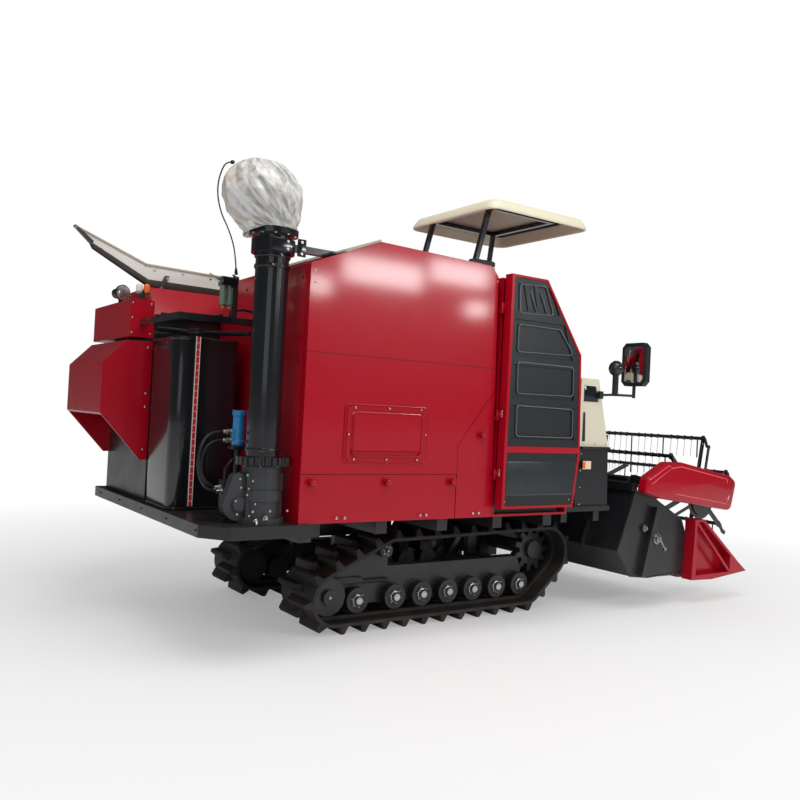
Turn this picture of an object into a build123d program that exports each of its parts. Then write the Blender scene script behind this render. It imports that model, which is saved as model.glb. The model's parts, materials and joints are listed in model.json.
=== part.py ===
"""Full-feed combine harvester on rubber tracks, in millimetres.

+X points forward, +Y to the machine's left and +Z up. The ground is z = 0, and the origin lies under the middle of
the machine's bounding box. It stands on its tracks, with the header carried clear of the ground.
"""

from build123d import *
from math import ceil, cos, hypot, pi, radians, sin, tan
import os

os.makedirs("parts", exist_ok=True)

# ---------------------------------------------------------------- driving sizes
# Clearances and stock
running_gap = 6  # between pieces that move past each other
seat_gap = 0.3  # between a piece and what it rests on
pin_gap = 0.1  # round a pin in its eye
sheet = 6  # folded sheet metal

# Tracks: the wheels' heights follow from the ground
track_width = 430
track_y = 580
belt = 30
lug_height = 50
lug_pitch = 90
lug_reach = 267
lug_root = 34
lug_tip = 20
rail_height = 20
rail_inner = 62
rail_outer = 98
idler_x = -1180
idler_wrap = 175
carrier_ahead = 435  # from the idler
carrier_z = 501
carrier_wrap = 100
sprocket_ahead = 1850
sprocket_z = 425
sprocket_wrap = 200
nose_wrap = 135
first_roller_ahead = 223
second_roller_ahead = 522
roller_pitch = 228
rear_rollers = 5
beam_half = 45
wheel_face = 110  # from the track's middle to a wheel's outside face

# Chassis
deck_z = 775  # top of the chassis, on which the bodywork stands
rail_y = 315
rail_wide = 60
frame_deep = 80
platform_deep = 70

# Grain tank: its front wall is where the machine's stations are measured from
tank_front = -245
tank_long = 1437
side_y = 1164  # the tank's side from the middle
tank_left = 60
tank_high = 1480  # at its rear edge
ridge_rise = 190
ridge_ahead = 462
front_drop = 20
panel = 14
lower_cover_high = 283
front_cover_long = 315

# Engine housing and door
engine_long = 715
door_stand = 86  # how far the door's face stands off the tank's side
door_depth = 69
door_low = 61
door_high = 1547
shoulder_long = 331
knee_back = 30
knee_drop = 485
band_high = 371
wall = 16
engine_cover_high = 675
duct_wide = 314
hinge_pin = 5
hinge_long = 40

# Threshing body, straw hood and guard
thresher_gap = 40
thresher_wide = 900
thresher_high = 1060
cover_rise = 355
hood_out = 313
hood_wide = 880
hood_deep = 477
hood_shoulder_drop = 155
guard_out = 485
guard_rise = 150

# Operator station
floor_thick = 38
station_inset = 84
station_left = -235
console_ahead = 170
console_long = 337
console_low_high = 438
console_high = 505
console_run_back = 132
canopy_x = 215
canopy_y = -555
canopy_long = 950
canopy_wide = 990
canopy_over_tank = 425
canopy_high = 65
tube = 32

# Unloading auger
auger_behind = 163
auger_inset = 164
auger_radius = 95
ring_high = 325
ring_radius = 154
ring_teeth = 24
auger_long = 1300
flange_radius = 140

# Header, whose trough is measured from its back
lift_back = 240  # the feeder's pivot behind the door's front
lift_high = 405
header_back = 1080
header_right = -1105
header_left = 1205
feeder_right = -170
feeder_left = 270
feeder_wall = 12
mouth_low = 350
mouth_top = 800
trough_sheet = 8
cross_ahead = 403
cross_z = 553
cross_tube = 110
cross_flight = 205
flight_pitch = 300
flight_steps = 6
knife_ahead = 825
knife_z = 250
finger_pitch = 76.2
divider_long = 750
divider_wide = 45
shaft_radius = 28  # feeder's pivot

# Reel
pivot_ahead = 250
reel_pivot_z = 1000
arm_long = 830
reel_z = 900
reel_radius = 450
reel_phase = 20
bat_count = 6
bat_tube = 16
tine_length = 165
tine_pitch = 350
crank_x = 35
crank_z = -70
crank_pin = 8
arm_thick = 40
hub_radius = 135
spider_thick = 10
pivot_pin = 12

# Hydraulic cylinders
lift_y = -203
foot_pin = 16
eye_pin = 14
lift_rod_radius = 15
lift_drift = 5.5
ram_pin = 9
ram_rod_radius = 9
ram_drift = 2

# Hoses and cable
hose_radius = 9
cable_radius = 4

# ---------------------------------------------------------------- stations that follow from them
tank_rear = tank_front - tank_long
tank_right = -side_y
tank_rear_top = deck_z + tank_high
tank_ridge_x = tank_rear + ridge_ahead
tank_ridge = tank_rear_top + ridge_rise
tank_front_top = tank_ridge - front_drop
auger_x = tank_rear - auger_behind
auger_y = tank_right + auger_inset
ring_z = deck_z + ring_high
auger_top = ring_z + auger_long
stay_z = auger_top - 55
door_front = tank_front + engine_long
housing_front = door_front - 20
door_face = tank_right - door_stand
door_bottom = deck_z + door_low
door_top = door_bottom + door_high
door_shoulder = tank_front + shoulder_long
door_knee_x = door_front - knee_back
door_knee_z = door_top - knee_drop
door_band_z = door_bottom + band_high
engine_cover_z = deck_z + engine_cover_high
platform_rear = auger_x - 370
platform_right = tank_right - 26
thresher_rear = platform_rear + 65
thresher_front = tank_front + 395
thresher_right = tank_left + thresher_gap
thresher_left = thresher_right + thresher_wide
thresher_top = deck_z + thresher_high
cover_top = thresher_top + cover_rise
platform_left = thresher_left + 50
frame_rear = tank_rear + 82
station_right = tank_right + station_inset
station_floor_z = deck_z + floor_thick
console_rear = door_front + console_ahead
console_front = console_rear + console_long
console_split = station_floor_z + console_low_high
console_top = console_split + console_high
canopy_z = tank_ridge + canopy_over_tank
lift_x = door_front - lift_back
lift_z = deck_z + lift_high
cross_x = header_back + cross_ahead
knife_x = header_back + knife_ahead
reel_pivot_x = header_back + pivot_ahead
reel_x = reel_pivot_x + arm_long
lift_foot = (lift_x + 150, lift_z - 620)
lift_eye = (lift_x + 650, lift_z - 500)
ram_foot = (reel_pivot_x, reel_pivot_z - 210)
ram_eye = (reel_pivot_x + 370, reel_pivot_z - 107)


# ---------------------------------------------------------------- building blocks
def save(piece, name):
    """Labels a finished piece and writes its file."""
    piece.part.label = name
    export_step(piece.part, f"parts/{name}.step")


def slab(points, y_low, y_high, mode=Mode.ADD):
    """An outline of (x, z) corners, as thick as y_low to y_high."""
    with BuildSketch(Plane.XZ.offset(-y_high)) as outline:
        with BuildLine():
            Polyline(*points, close=True)
        make_face()
    extrude(outline.sketch, amount=y_high - y_low, mode=mode)


def rib(points, x_low, x_high, mode=Mode.ADD):
    """An outline of (y, z) corners, as thick as x_low to x_high."""
    with BuildSketch(Plane.YZ.offset(x_low)) as outline:
        with BuildLine():
            Polyline(*points, close=True)
        make_face()
    extrude(outline.sketch, amount=x_high - x_low, mode=mode)


def plate(points, z_low, z_high, mode=Mode.ADD):
    """An outline of (x, y) corners, as thick as z_low to z_high."""
    with BuildSketch(Plane.XY.offset(z_low)) as outline:
        with BuildLine():
            Polyline(*points, close=True)
        make_face()
    extrude(outline.sketch, amount=z_high - z_low, mode=mode)


def block(x, y, z, mode=Mode.ADD):
    """A block between pairs of x, y and z."""
    with BuildSketch(Plane.XY.offset(min(z))) as outline:
        with Locations(((x[0] + x[1]) / 2, (y[0] + y[1]) / 2)):
            Rectangle(abs(x[1] - x[0]), abs(y[1] - y[0]))
    extrude(outline.sketch, amount=abs(z[1] - z[0]), mode=mode)


def section(radius, sides):
    """A circle, or a regular outline with a flat at its top where the form is plain enough for one."""
    if sides:
        RegularPolygon(radius, sides, rotation=180 / sides if sides % 4 == 0 else 0)
    else:
        Circle(radius)


def rod(start, end, radius, sides=0, mode=Mode.ADD):
    """A rod from one point to another: round, or with so many sides."""
    run = Vector(*end) - Vector(*start)
    with BuildSketch(Plane(origin=start, z_dir=run)) as outline:
        section(radius, sides)
    extrude(outline.sketch, amount=run.length, mode=mode)


def bar(start, end, across, high, mode=Mode.ADD):
    """A flat or square bar from one point to another: across lies level, and high stands over it."""
    run = Vector(*end) - Vector(*start)
    level = Vector(-run.Y, run.X, 0) if hypot(run.X, run.Y) > 1 else Vector(0, 1, 0)
    with BuildSketch(Plane(origin=start, x_dir=level, z_dir=run)) as outline:
        Rectangle(across, high)
    extrude(outline.sketch, amount=run.length, mode=mode)


def drum(x, z, radius, y_low, y_high, sides=0, mode=Mode.ADD):
    """A drum across the machine: round, or with so many sides."""
    low, high = sorted((y_low, y_high))
    with BuildSketch(Plane.XZ.offset(-high)) as outline:
        with Locations((x, z)):
            section(radius, sides)
    extrude(outline.sketch, amount=high - low, mode=mode)


def mast(x, y, radius, z_low, z_high, sides=0, mode=Mode.ADD):
    """An upright drum: round, or with so many sides."""
    with BuildSketch(Plane.XY.offset(z_low)) as outline:
        with Locations((x, y)):
            section(radius, sides)
    extrude(outline.sketch, amount=z_high - z_low, mode=mode)


def upright_rings(rings, sides):
    """A closed body with flat facets through level rings of (x, y, z, radius)."""
    outlines = []
    for x, y, z, radius in rings:
        turns = [2 * pi * k / sides for k in range(sides)]
        outlines.append([Vector(x + radius * cos(turn), y + radius * sin(turn), z) for turn in turns])
    facets = [Face(Wire.make_polygon(outlines[0])), Face(Wire.make_polygon(outlines[-1]))]
    for low, high in zip(outlines, outlines[1:]):
        for k in range(sides):
            after = (k + 1) % sides
            facets.append(Face(Wire.make_polygon([low[k], low[after], high[after], high[k]])))
    add(Solid(Shell(facets)))


def outside(radius, sides):
    """The corner radius of a regular outline that goes round a circle."""
    return radius / cos(pi / sides)


def star(count, root, tip):
    """The corners of a toothed outline, each tooth as wide as the gap beside it."""
    step = 2 * pi / count
    corners = []
    for k in range(count):
        for share, radius in ((-0.32, root), (-0.18, tip), (0.18, tip), (0.32, root)):
            angle = (k + share) * step
            corners.append((radius * cos(angle), radius * sin(angle)))
    return corners


def between(start, end, share):
    """A point on the way from one (x, z) point to another."""
    return start[0] + (end[0] - start[0]) * share, start[1] + (end[1] - start[1]) * share


# ---------------------------------------------------------------- tracks
carrier_x = idler_x + carrier_ahead
sprocket_x = idler_x + sprocket_ahead
nose_x = idler_x + second_roller_ahead + roller_pitch * rear_rollers
roller_z = lug_height + nose_wrap
rail_inside = belt + rail_height
# columns: x, z, outside radius of the belt
track_wheels = [
    (idler_x, lug_height + idler_wrap, idler_wrap),
    (carrier_x, carrier_z, carrier_wrap),
    (sprocket_x, sprocket_z, sprocket_wrap),
    (nose_x, roller_z, nose_wrap),
]


def loop_face(inset, y):
    """The belt's closed outline at a depth under its outside, on a plane across the machine."""
    with BuildSketch(Plane.XZ.offset(-y)) as outline:
        for x, z, wrap in track_wheels:
            with Locations((x, z)):
                Circle(wrap - inset)
        make_hull()
    return outline.sketch


def build_track(side, name):
    """One rubber track: belt, inner guide rails and alternate lugs."""
    centre = side * track_y
    outer = centre + track_width / 2
    with BuildPart() as track:
        extrude(loop_face(0, outer), amount=track_width)
        extrude(loop_face(belt, outer), amount=track_width, mode=Mode.SUBTRACT)
        ring = loop_face(belt - 1, 0) - loop_face(rail_inside, 0)
        for low in (-rail_outer, rail_inner):
            extrude(
                ring.moved(Location((0, centre + low + rail_outer - rail_inner, 0))),
                amount=rail_outer - rail_inner,
            )
        path = loop_face(0, 0).wire()
        pairs = round(path.length / (2 * lug_pitch))
        inside = Vector((idler_x + sprocket_x) / 2, 0, carrier_z / 2)
        for k in range(2 * pairs):
            share = (k + 0.25) / (2 * pairs)
            along = path % share
            foot = path @ share
            up = Vector(along.Z, 0, -along.X)
            up = up if up.dot(foot - inside) > 0 else up * -1
            end = outer if k % 2 else outer - track_width + lug_reach
            # drawn on the outer end's plane, where the outline's y points away from the belt or into it
            place = Plane(origin=(foot.X, end, foot.Z), x_dir=along, z_dir=(0, -1, 0))
            way = 1 if place.y_dir.dot(up) > 0 else -1
            with BuildSketch(place) as lug:
                with BuildLine():
                    Polyline(
                        (-lug_root / 2, -2 * way),
                        (lug_root / 2, -2 * way),
                        (lug_tip / 2, lug_height * way),
                        (-lug_tip / 2, lug_height * way),
                        close=True,
                    )
                make_face()
            extrude(lug.sketch, amount=lug_reach)
    save(track, name)


for side, name in ((-1, "track_right"), (1, "track_left")):
    build_track(side, name)

roller_radius = nose_wrap - rail_inside - seat_gap
roller_xs = [idler_x + first_roller_ahead]
roller_xs += [idler_x + second_roller_ahead + roller_pitch * k for k in range(rear_rollers + 1)]
# columns: x, z, radius of a pair of wheels, one on each side of the beam
wheel_pairs = [(x, roller_z, roller_radius) for x in roller_xs]
wheel_pairs += [
    (idler_x, lug_height + idler_wrap, idler_wrap - rail_inside - seat_gap),
    (carrier_x, carrier_z, carrier_wrap - rail_inside - seat_gap),
]
beam_low = 145
beam_top = 385
bracket_half = 45
with BuildPart() as track_frames:
    for side in (-1, 1):
        middle = side * track_y
        slab(
            [
                (idler_x - 50, roller_z + 5),
                (idler_x - 50, roller_z + 83),
                (idler_x + 190, beam_top + 15),
                (carrier_x - 60, carrier_z + 44),
                (carrier_x + 55, carrier_z + 44),
                (carrier_x + 55, beam_top),
                (nose_x + 18, beam_top),
                (nose_x + 66, 285),
                (nose_x + 38, beam_low),
                (idler_x + 20, beam_low),
            ],
            middle - beam_half,
            middle + beam_half,
        )
        inner = side * (rail_y - rail_wide / 2)
        for x in (idler_x + 280, idler_x + 1270, idler_x + 1480):
            block((x - bracket_half, x + bracket_half), (inner, middle - side * beam_half), (290, beam_top - 5))
        for x in (idler_x + 280, idler_x + 1480):
            block(
                (x - bracket_half, x + bracket_half),
                (inner, side * (rail_y + rail_wide / 2 - 10)),
                (beam_top - 5, deck_z - frame_deep),
            )
        brace_x = idler_x + 1270
        bar(
            (brace_x, side * rail_y, beam_top - 10),
            (brace_x + 195, side * rail_y, deck_z - frame_deep - 30),
            20,
            40,
        )
save(track_frames, "track_frames")

sprocket_radius = sprocket_wrap - belt - seat_gap
sprocket_teeth = 11
hub_cap = 24
with BuildPart() as track_rollers:
    for side in (-1, 1):
        middle = side * track_y
        for x, z, radius in wheel_pairs:
            outer_face = middle + side * wheel_face
            drum(x, z, radius, middle + side * (beam_half + seat_gap), outer_face, 14)
            drum(x, z, 0.42 * radius, outer_face, outer_face + side * hub_cap, 8)
            drum(x, z, radius, middle - side * (beam_half + seat_gap), middle - side * wheel_face, 10)
        with BuildSketch(Plane.XZ.offset(-(middle + 30))) as teeth:
            with Locations((sprocket_x, sprocket_z)):
                with BuildLine():
                    Polyline(
                        *[(sprocket_x + x, sprocket_z + z) for x, z in star(sprocket_teeth, 122, sprocket_radius)],
                        close=True,
                    )
                make_face()
        extrude(teeth.sketch, amount=60)
        drum(sprocket_x, sprocket_z, 70, middle - 60, middle + 60, 12)
save(track_rollers, "track_rollers")

# ---------------------------------------------------------------- chassis
frame_low = deck_z - frame_deep
frame_front = lift_x + 110
station_rail = door_front + 490
with BuildPart() as chassis:
    for side, front in ((-1, station_rail), (1, frame_front + 200)):
        edges = (side * (rail_y - rail_wide / 2), side * (rail_y + rail_wide / 2))
        block((frame_rear, front), edges, (frame_low, deck_z))
    spacing = (frame_front - frame_rear - 80) / 4
    for k in range(5):
        x = frame_rear + 40 + spacing * k
        block((x - 40, x + 40), (tank_right + 34, platform_left - 20), (frame_low, deck_z))
    for x in (frame_front + 220, station_rail - 60):
        block((x - 30, x + 30), (station_right + 40, -rail_y), (frame_low, deck_z))
    drum(sprocket_x, sprocket_z, 55, 60 - track_y, track_y - 60, 12)
    block((sprocket_x - 120, sprocket_x + 60), (-140, 140), (sprocket_z - 125, sprocket_z + 45))
    for y in (-100, 100):
        bar((frame_front - 60, y, frame_low + 20), (sprocket_x - 110, y, sprocket_z - 20), 50, 50)
    hanger_y = lift_y - 28
    foot_x = (lift_foot[0] - 35, lift_foot[0] + 35)
    block(foot_x, (-rail_y, hanger_y), (frame_low - 2, frame_low + 18))
    block(foot_x, (hanger_y - 15, hanger_y), (lift_foot[1] - 35, frame_low + 18))
    drum(lift_foot[0], lift_foot[1], foot_pin, hanger_y - 10, lift_y + 28)
save(chassis, "chassis")

platform_outline = [
    (frame_rear, platform_left),
    (platform_rear, platform_left),
    (platform_rear, tank_right + 134),
    (platform_rear + 125, platform_right),
    (frame_rear, platform_right),
]
with BuildPart() as rear_platform:
    plate(platform_outline, deck_z - platform_deep, deck_z)
    with BuildSketch(Plane.XY.offset(deck_z - platform_deep)) as pocket:
        with BuildLine():
            Polyline(*platform_outline, close=True)
        make_face()
        offset(amount=-platform_deep, mode=Mode.REPLACE)
    extrude(pocket.sketch, amount=platform_deep - sheet, mode=Mode.SUBTRACT)
save(rear_platform, "rear_platform")

# ---------------------------------------------------------------- grain tank
tank_side = [
    (tank_rear, deck_z),
    (tank_rear, tank_rear_top),
    (tank_ridge_x, tank_ridge),
    (tank_front - 100, tank_front_top),
    (tank_front - 42, tank_front_top - 60),
    (tank_front, deck_z),
]
side_plane = (tank_right, tank_right + panel)
with BuildPart() as grain_tank:
    slab(tank_side, tank_right + panel, tank_left)
save(grain_tank, "grain_tank")

lower_cover_top = deck_z + lower_cover_high
front_cover_rear = tank_front - front_cover_long
front_cover_top = deck_z + 840
front_cover_bend = deck_z + 470
seam = 3
with BuildPart() as tank_side_panel:
    slab(tank_side, *side_plane)
    block((tank_rear - 1, front_cover_rear), side_plane, (deck_z, lower_cover_top), Mode.SUBTRACT)
    slab(
        [
            (tank_front + 60, front_cover_top + 145),
            (tank_front - 22, front_cover_top),
            (front_cover_rear, front_cover_bend),
            (front_cover_rear, deck_z),
            (tank_front + 60, deck_z),
        ],
        *side_plane,
        Mode.SUBTRACT,
    )
save(tank_side_panel, "tank_side_panel")


def star_knob(x, z):
    """A five-lobed clamping knob on the tank's side."""
    with BuildSketch(Plane.XZ.offset(side_y)) as knob:
        with BuildLine():
            Polyline(*[(x + a, z + b) for a, b in star(5, 13, 20)], close=True)
        make_face()
    extrude(knob.sketch, amount=20)


with BuildPart() as tank_covers:
    block((tank_rear, front_cover_rear - seam), side_plane, (deck_z, lower_cover_top - seam))
    slab(
        [
            (tank_front - 24, front_cover_top - 10),
            (front_cover_rear + seam, front_cover_bend - 1),
            (front_cover_rear + seam, deck_z),
            (tank_front - seam, deck_z),
        ],
        *side_plane,
    )
    knob_z = lower_cover_top - 48
    for x in (tank_rear + 68, (tank_rear + front_cover_rear) / 2 + 21, front_cover_rear - 43):
        star_knob(x, knob_z)
    star_knob(tank_front - 128, front_cover_bend + 69)
save(tank_covers, "tank_covers")

access_x = tank_rear + 580
access_z = lower_cover_top + 240
with BuildPart() as tank_access_cover:
    with BuildSketch(Plane.XZ.offset(side_y)) as flange:
        with Locations((access_x, access_z)):
            Rectangle(585, 332)
        chamfer(flange.vertices(), 24)
    extrude(flange.sketch, amount=4)
    with BuildSketch(Plane.XZ.offset(side_y + 4)) as raised:
        with Locations((access_x, access_z + 12)):
            Rectangle(530, 236)
        chamfer(raised.vertices(), 18)
    extrude(raised.sketch, amount=9, taper=35)
save(tank_access_cover, "tank_access_cover")

# ---------------------------------------------------------------- engine
housing_side = [
    (tank_front, deck_z),
    (tank_front, door_top - 20),
    (door_shoulder, door_top - 20),
    (door_knee_x - 10, door_knee_z),
    (housing_front, door_band_z),
    (housing_front, deck_z),
]
duct_left = tank_right + duct_wide
hinge_x = tank_front - 13
hinge_y = tank_right - 23
hinge_zs = (door_bottom + 214, door_bottom + 604, door_bottom + 1314)
with BuildPart() as engine_housing:
    slab(housing_side, tank_right, duct_left)
    block((tank_front, housing_front), (duct_left, station_left), (deck_z, engine_cover_z))
    block(
        (tank_front + wall, housing_front - wall),
        (tank_right - 1, station_left - wall),
        (deck_z + wall, engine_cover_z - wall),
        Mode.SUBTRACT,
    )
    slab(
        [
            (tank_front + wall, engine_cover_z - 60),
            (tank_front + wall, door_top - 20 - wall),
            (door_shoulder - 12, door_top - 20 - wall),
            (door_knee_x - 30, door_knee_z - 6),
            (housing_front - wall - 14, engine_cover_z - 60),
        ],
        tank_right - 1,
        duct_left - wall,
        Mode.SUBTRACT,
    )
    drum(lift_x, lift_z, shaft_radius + 22, station_left - 1, station_left + 32, 12)
    drum(lift_x, lift_z, shaft_radius + pin_gap, station_left + 0.5, station_left + 33, 0, Mode.SUBTRACT)
    for z in hinge_zs:
        block((tank_front + 1, tank_front + 55), (tank_right - 12, tank_right + 1), (z - 26, z - 1))
        block((hinge_x - 10, tank_front + 2), (tank_right - 12, tank_right - seat_gap), (z - 26, z - 1))
        block((hinge_x - 10, hinge_x + 9), (hinge_y - 9, tank_right - seat_gap), (z - 26, z - 1))
        mast(hinge_x, hinge_y, hinge_pin, z - 20, z + hinge_long + 6)
save(engine_housing, "engine_housing")

engine_floor = deck_z + wall
with BuildPart() as engine:
    block((tank_front + 75, housing_front - 120), (-900, station_left - 95), (engine_floor, engine_cover_z - 120))
    block((tank_front + 55, housing_front - 50), (-1120, -1040), (engine_floor, engine_cover_z + 50))
save(engine, "engine")

door_rear = tank_front + 28
field_rear = tank_front + 60
door_outline = [
    (tank_front + 5, door_bottom),
    (tank_front + 8, door_top),
    (door_shoulder, door_top),
    (door_knee_x, door_knee_z),
    (door_front, door_band_z),
    (door_front - 50, door_bottom),
]
door_inner = [
    (door_rear, door_bottom + 18),
    (door_rear + 2, door_top - 16),
    (door_shoulder - 8, door_top - 16),
    (door_knee_x - 18, door_knee_z - 4),
    (door_front - 20, door_band_z),
    (door_front - 66, door_bottom + 18),
]
band_top = door_band_z + 42
knuckle = outside(hinge_pin + pin_gap, 8)
with BuildPart() as door_shell:
    slab(door_outline, door_face, door_face + door_depth)
    slab(door_inner, door_face - 1, door_face + door_depth + 1, Mode.SUBTRACT)
    block((door_rear - 18, door_front - 8), (door_face, door_face + door_depth), (door_band_z, band_top))
    for z in hinge_zs:
        block((hinge_x + 4, tank_front + 12), (hinge_y - 8, hinge_y + 5), (z, z + hinge_long))
        mast(hinge_x, hinge_y, hinge_pin + 5, z, z + hinge_long, 8)
        mast(hinge_x, hinge_y, knuckle, z - 1, z + hinge_long + 1, 8, Mode.SUBTRACT)
save(door_shell, "door_shell")

# pressed fields: bottom and top above the band, front edge behind the door's front at the bottom and at the top
pressings = [
    (93, 313, 65, 77),
    (368, 583, 82, 94),
    (643, 883, 110, 200),
    (943, 1118, 255, 345),
]
press_depth = 14
with BuildPart() as door_panel:
    slab(
        [
            (door_rear + 1.3, band_top + seat_gap),
            (door_rear + 2.8, door_top - 16.3),
            (door_shoulder - 8.5, door_top - 16.3),
            (door_knee_x - 19, door_knee_z - 4),
            (door_front - 24, band_top + seat_gap),
        ],
        door_face + 4,
        door_face + 34,
    )
    for low, high, back_low, back_high in pressings:
        corners = [(0, low), (0, high), (back_high, high), (back_low, low)]
        slab(
            [(door_front - back if back else field_rear, door_band_z + z) for back, z in corners],
            door_face,
            door_face + press_depth,
            Mode.SUBTRACT,
        )
    low, high = (door_band_z + z for z in pressings[-1][:2])
    for x in (field_rear + 60, field_rear + 150):
        slab(
            [(x, high + 1), (x + 40, high + 1), (x + 85, low - 1), (x + 45, low - 1)],
            door_face + 7,
            door_face + press_depth + 1,
        )
save(door_panel, "door_panel")

slats = 13
slat_pitch = 42
with BuildPart() as door_grille:
    slab(
        [
            (door_rear + seat_gap, door_bottom + 18.3),
            (door_rear + 0.6, door_band_z - seat_gap),
            (door_front - 20.3, door_band_z - seat_gap),
            (door_front - 66.3, door_bottom + 18.3),
        ],
        door_face + 4,
        door_face + 28,
    )
    for k in range(slats):
        x = door_rear + 52 + slat_pitch * k
        block((x - 12, x + 12), (door_face, door_face + 22), (door_band_z - 273, door_band_z - 72), Mode.SUBTRACT)
save(door_grille, "door_grille")

# ---------------------------------------------------------------- threshing body
with BuildPart() as threshing_body:
    block((thresher_rear, thresher_front), (thresher_right, thresher_left), (deck_z, thresher_top))
    block((thresher_front - 1, lift_x + 50), (feeder_left + 12, feeder_left + 34), (lift_z - 50, lift_z + 50))
    drum(lift_x, lift_z, shaft_radius + pin_gap, feeder_left, feeder_left + 40, 0, Mode.SUBTRACT)
save(threshing_body, "threshing_body")

cover_eave = thresher_top + 155
with BuildPart() as threshing_cover:
    rib(
        [
            (thresher_right, thresher_top),
            (thresher_right, cover_eave),
            (thresher_right + 130, cover_top),
            (thresher_left - 150, cover_top),
            (thresher_left, cover_eave),
            (thresher_left, thresher_top),
        ],
        thresher_rear,
        thresher_front,
    )
save(threshing_cover, "threshing_cover")

guard_top = deck_z + 305
louvre_pitch = 60
with BuildPart() as left_side_panel:
    block(
        (thresher_rear + 40, thresher_front - 40),
        (thresher_left, thresher_left + 40),
        (guard_top + 10, thresher_top - 20),
    )
    for column in range(4):
        x = thresher_rear + 300 + (thresher_front - thresher_rear - 500) * column / 3
        for row in range(3):
            z = thresher_top - 330 + louvre_pitch * row
            block((x - 150, x + 150), (thresher_left + 28, thresher_left + 41), (z, z + 24), Mode.SUBTRACT)
save(left_side_panel, "left_side_panel")

with BuildPart() as left_belt_guard:
    block(
        (thresher_rear + 60, thresher_front - 60),
        (thresher_left, thresher_left + 110),
        (deck_z + 5, guard_top),
    )
    fillet(left_belt_guard.edges().filter_by(Axis.Y), 60)
save(left_belt_guard, "left_belt_guard")

hood_high = thresher_top - 20
hood_rear = thresher_rear - hood_out
hood_shoulder = hood_high - hood_shoulder_drop
hood_low = hood_high - hood_deep
hood_left = thresher_right + hood_wide
hood_wall = 12
with BuildPart() as straw_hood:
    slab(
        [
            (hood_rear, hood_low),
            (hood_rear, hood_shoulder),
            (hood_rear + 147, hood_high),
            (thresher_rear, hood_high),
            (thresher_rear, hood_low - 298),
            (thresher_rear - 45, hood_low - 298),
        ],
        thresher_right,
        hood_left,
    )
    slab(
        [
            (hood_rear + hood_wall, hood_low - 25),
            (hood_rear + hood_wall, hood_shoulder - 6),
            (hood_rear + 153, hood_high - hood_wall),
            (thresher_rear + 1, hood_high - hood_wall),
            (thresher_rear + 1, hood_low - 338),
            (thresher_rear - 45, hood_low - 338),
        ],
        thresher_right + hood_wall,
        hood_left - hood_wall,
        Mode.SUBTRACT,
    )
save(straw_hood, "straw_hood")

hood_box_top = thresher_top + 248
with BuildPart() as hood_box:
    block((thresher_rear - 155, thresher_rear), (thresher_right, hood_left), (thresher_top + 3, hood_box_top))
save(hood_box, "hood_box")

guard_tip = (platform_rear + 65 - guard_out, cover_top + 350)
guard_bend = (platform_rear + 55, cover_top + 165)
guard_front = (platform_rear + 605, cover_top + guard_rise)
guard_y = thresher_right + 200
with BuildPart() as top_guard:
    slab(
        [
            guard_tip,
            guard_bend,
            guard_front,
            (guard_front[0], guard_front[1] - 110),
            (guard_bend[0] + 25, guard_bend[1] - 118),
            (guard_tip[0] + 115, guard_tip[1] - 100),
        ],
        guard_y,
        guard_y + 40,
    )
    for x in (guard_bend[0] + 80, guard_front[0] - 90):
        block((x - 20, x + 20), (guard_y + 40, guard_y + 46), (cover_top, guard_front[1] - 60))
save(top_guard, "top_guard")

fuel_tank_top = deck_z + 1055
fuel_x = platform_rear + 253
with BuildPart() as fuel_tank:
    with BuildSketch(Plane.XY.offset(deck_z)) as foot:
        with Locations((fuel_x, tank_left - 245)):
            Rectangle(434, 490)
        chamfer(foot.vertices(), 75)
    extrude(foot.sketch, amount=fuel_tank_top - deck_z)
    mast(fuel_x, tank_left - 180, 40, fuel_tank_top, fuel_tank_top + 40, 12)
save(fuel_tank, "fuel_tank")

rack_z = fuel_tank_top + 85
post_x = auger_x - 45
post_y = auger_y + 400
post_top = rack_z + 290
with BuildPart() as fuel_filter:
    block((platform_rear - 25, tank_rear), (post_y - 20, post_y + 20), (rack_z, rack_z + 40))
    block((platform_rear - 25, platform_rear + 15), (post_y + 20, thresher_right), (rack_z, rack_z + 40))
    mast(post_x, post_y, 17, rack_z + 40, post_top, 8)
    block((post_x - 95, post_x), (post_y - 40, post_y + 40), (rack_z + 225, rack_z + 275))
    for x in (post_x - 75, post_x - 35):
        mast(x, post_y, 18, rack_z + 105, rack_z + 225, 8)
save(fuel_filter, "fuel_filter")

lamp_z = hood_box_top + 82
lamp_x = thresher_rear - 40
with BuildPart() as rear_lamps:
    block((lamp_x - 70, lamp_x - 40), (thresher_right + 460, thresher_right + 500), (hood_box_top, lamp_z - 30))
    rod((lamp_x - 30, thresher_right + 480, lamp_z), (lamp_x - 100, thresher_right + 480, lamp_z), 58, 16)
    rod((lamp_x, thresher_right + 480, lamp_z), (lamp_x - 30, thresher_right + 480, lamp_z), 40, 12)
    mast(lamp_x - 25, thresher_right + 60, 12, hood_box_top, hood_box_top + 67, 8)
    mast(lamp_x - 25, thresher_right + 60, 30, hood_box_top + 67, hood_box_top + 117, 12)
save(rear_lamps, "rear_lamps")

# ---------------------------------------------------------------- unloading auger
case_x = auger_x - 142
case_top = (case_x - 3, 235)
case_low = (case_x + 2, 105)


def half_turn(start, steps=6):
    """The angles of half a turn."""
    return [start + pi * k / steps for k in range(steps + 1)]


def drop(low, low_radius, top, top_radius):
    """A drop's outline: the lower half of one circle and the upper half of another."""
    corners = [(low[0] + low_radius * cos(a), deck_z + low[1] + low_radius * sin(a)) for a in half_turn(pi)]
    return corners + [(top[0] + top_radius * cos(a), deck_z + top[1] + top_radius * sin(a)) for a in half_turn(0)]


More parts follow.
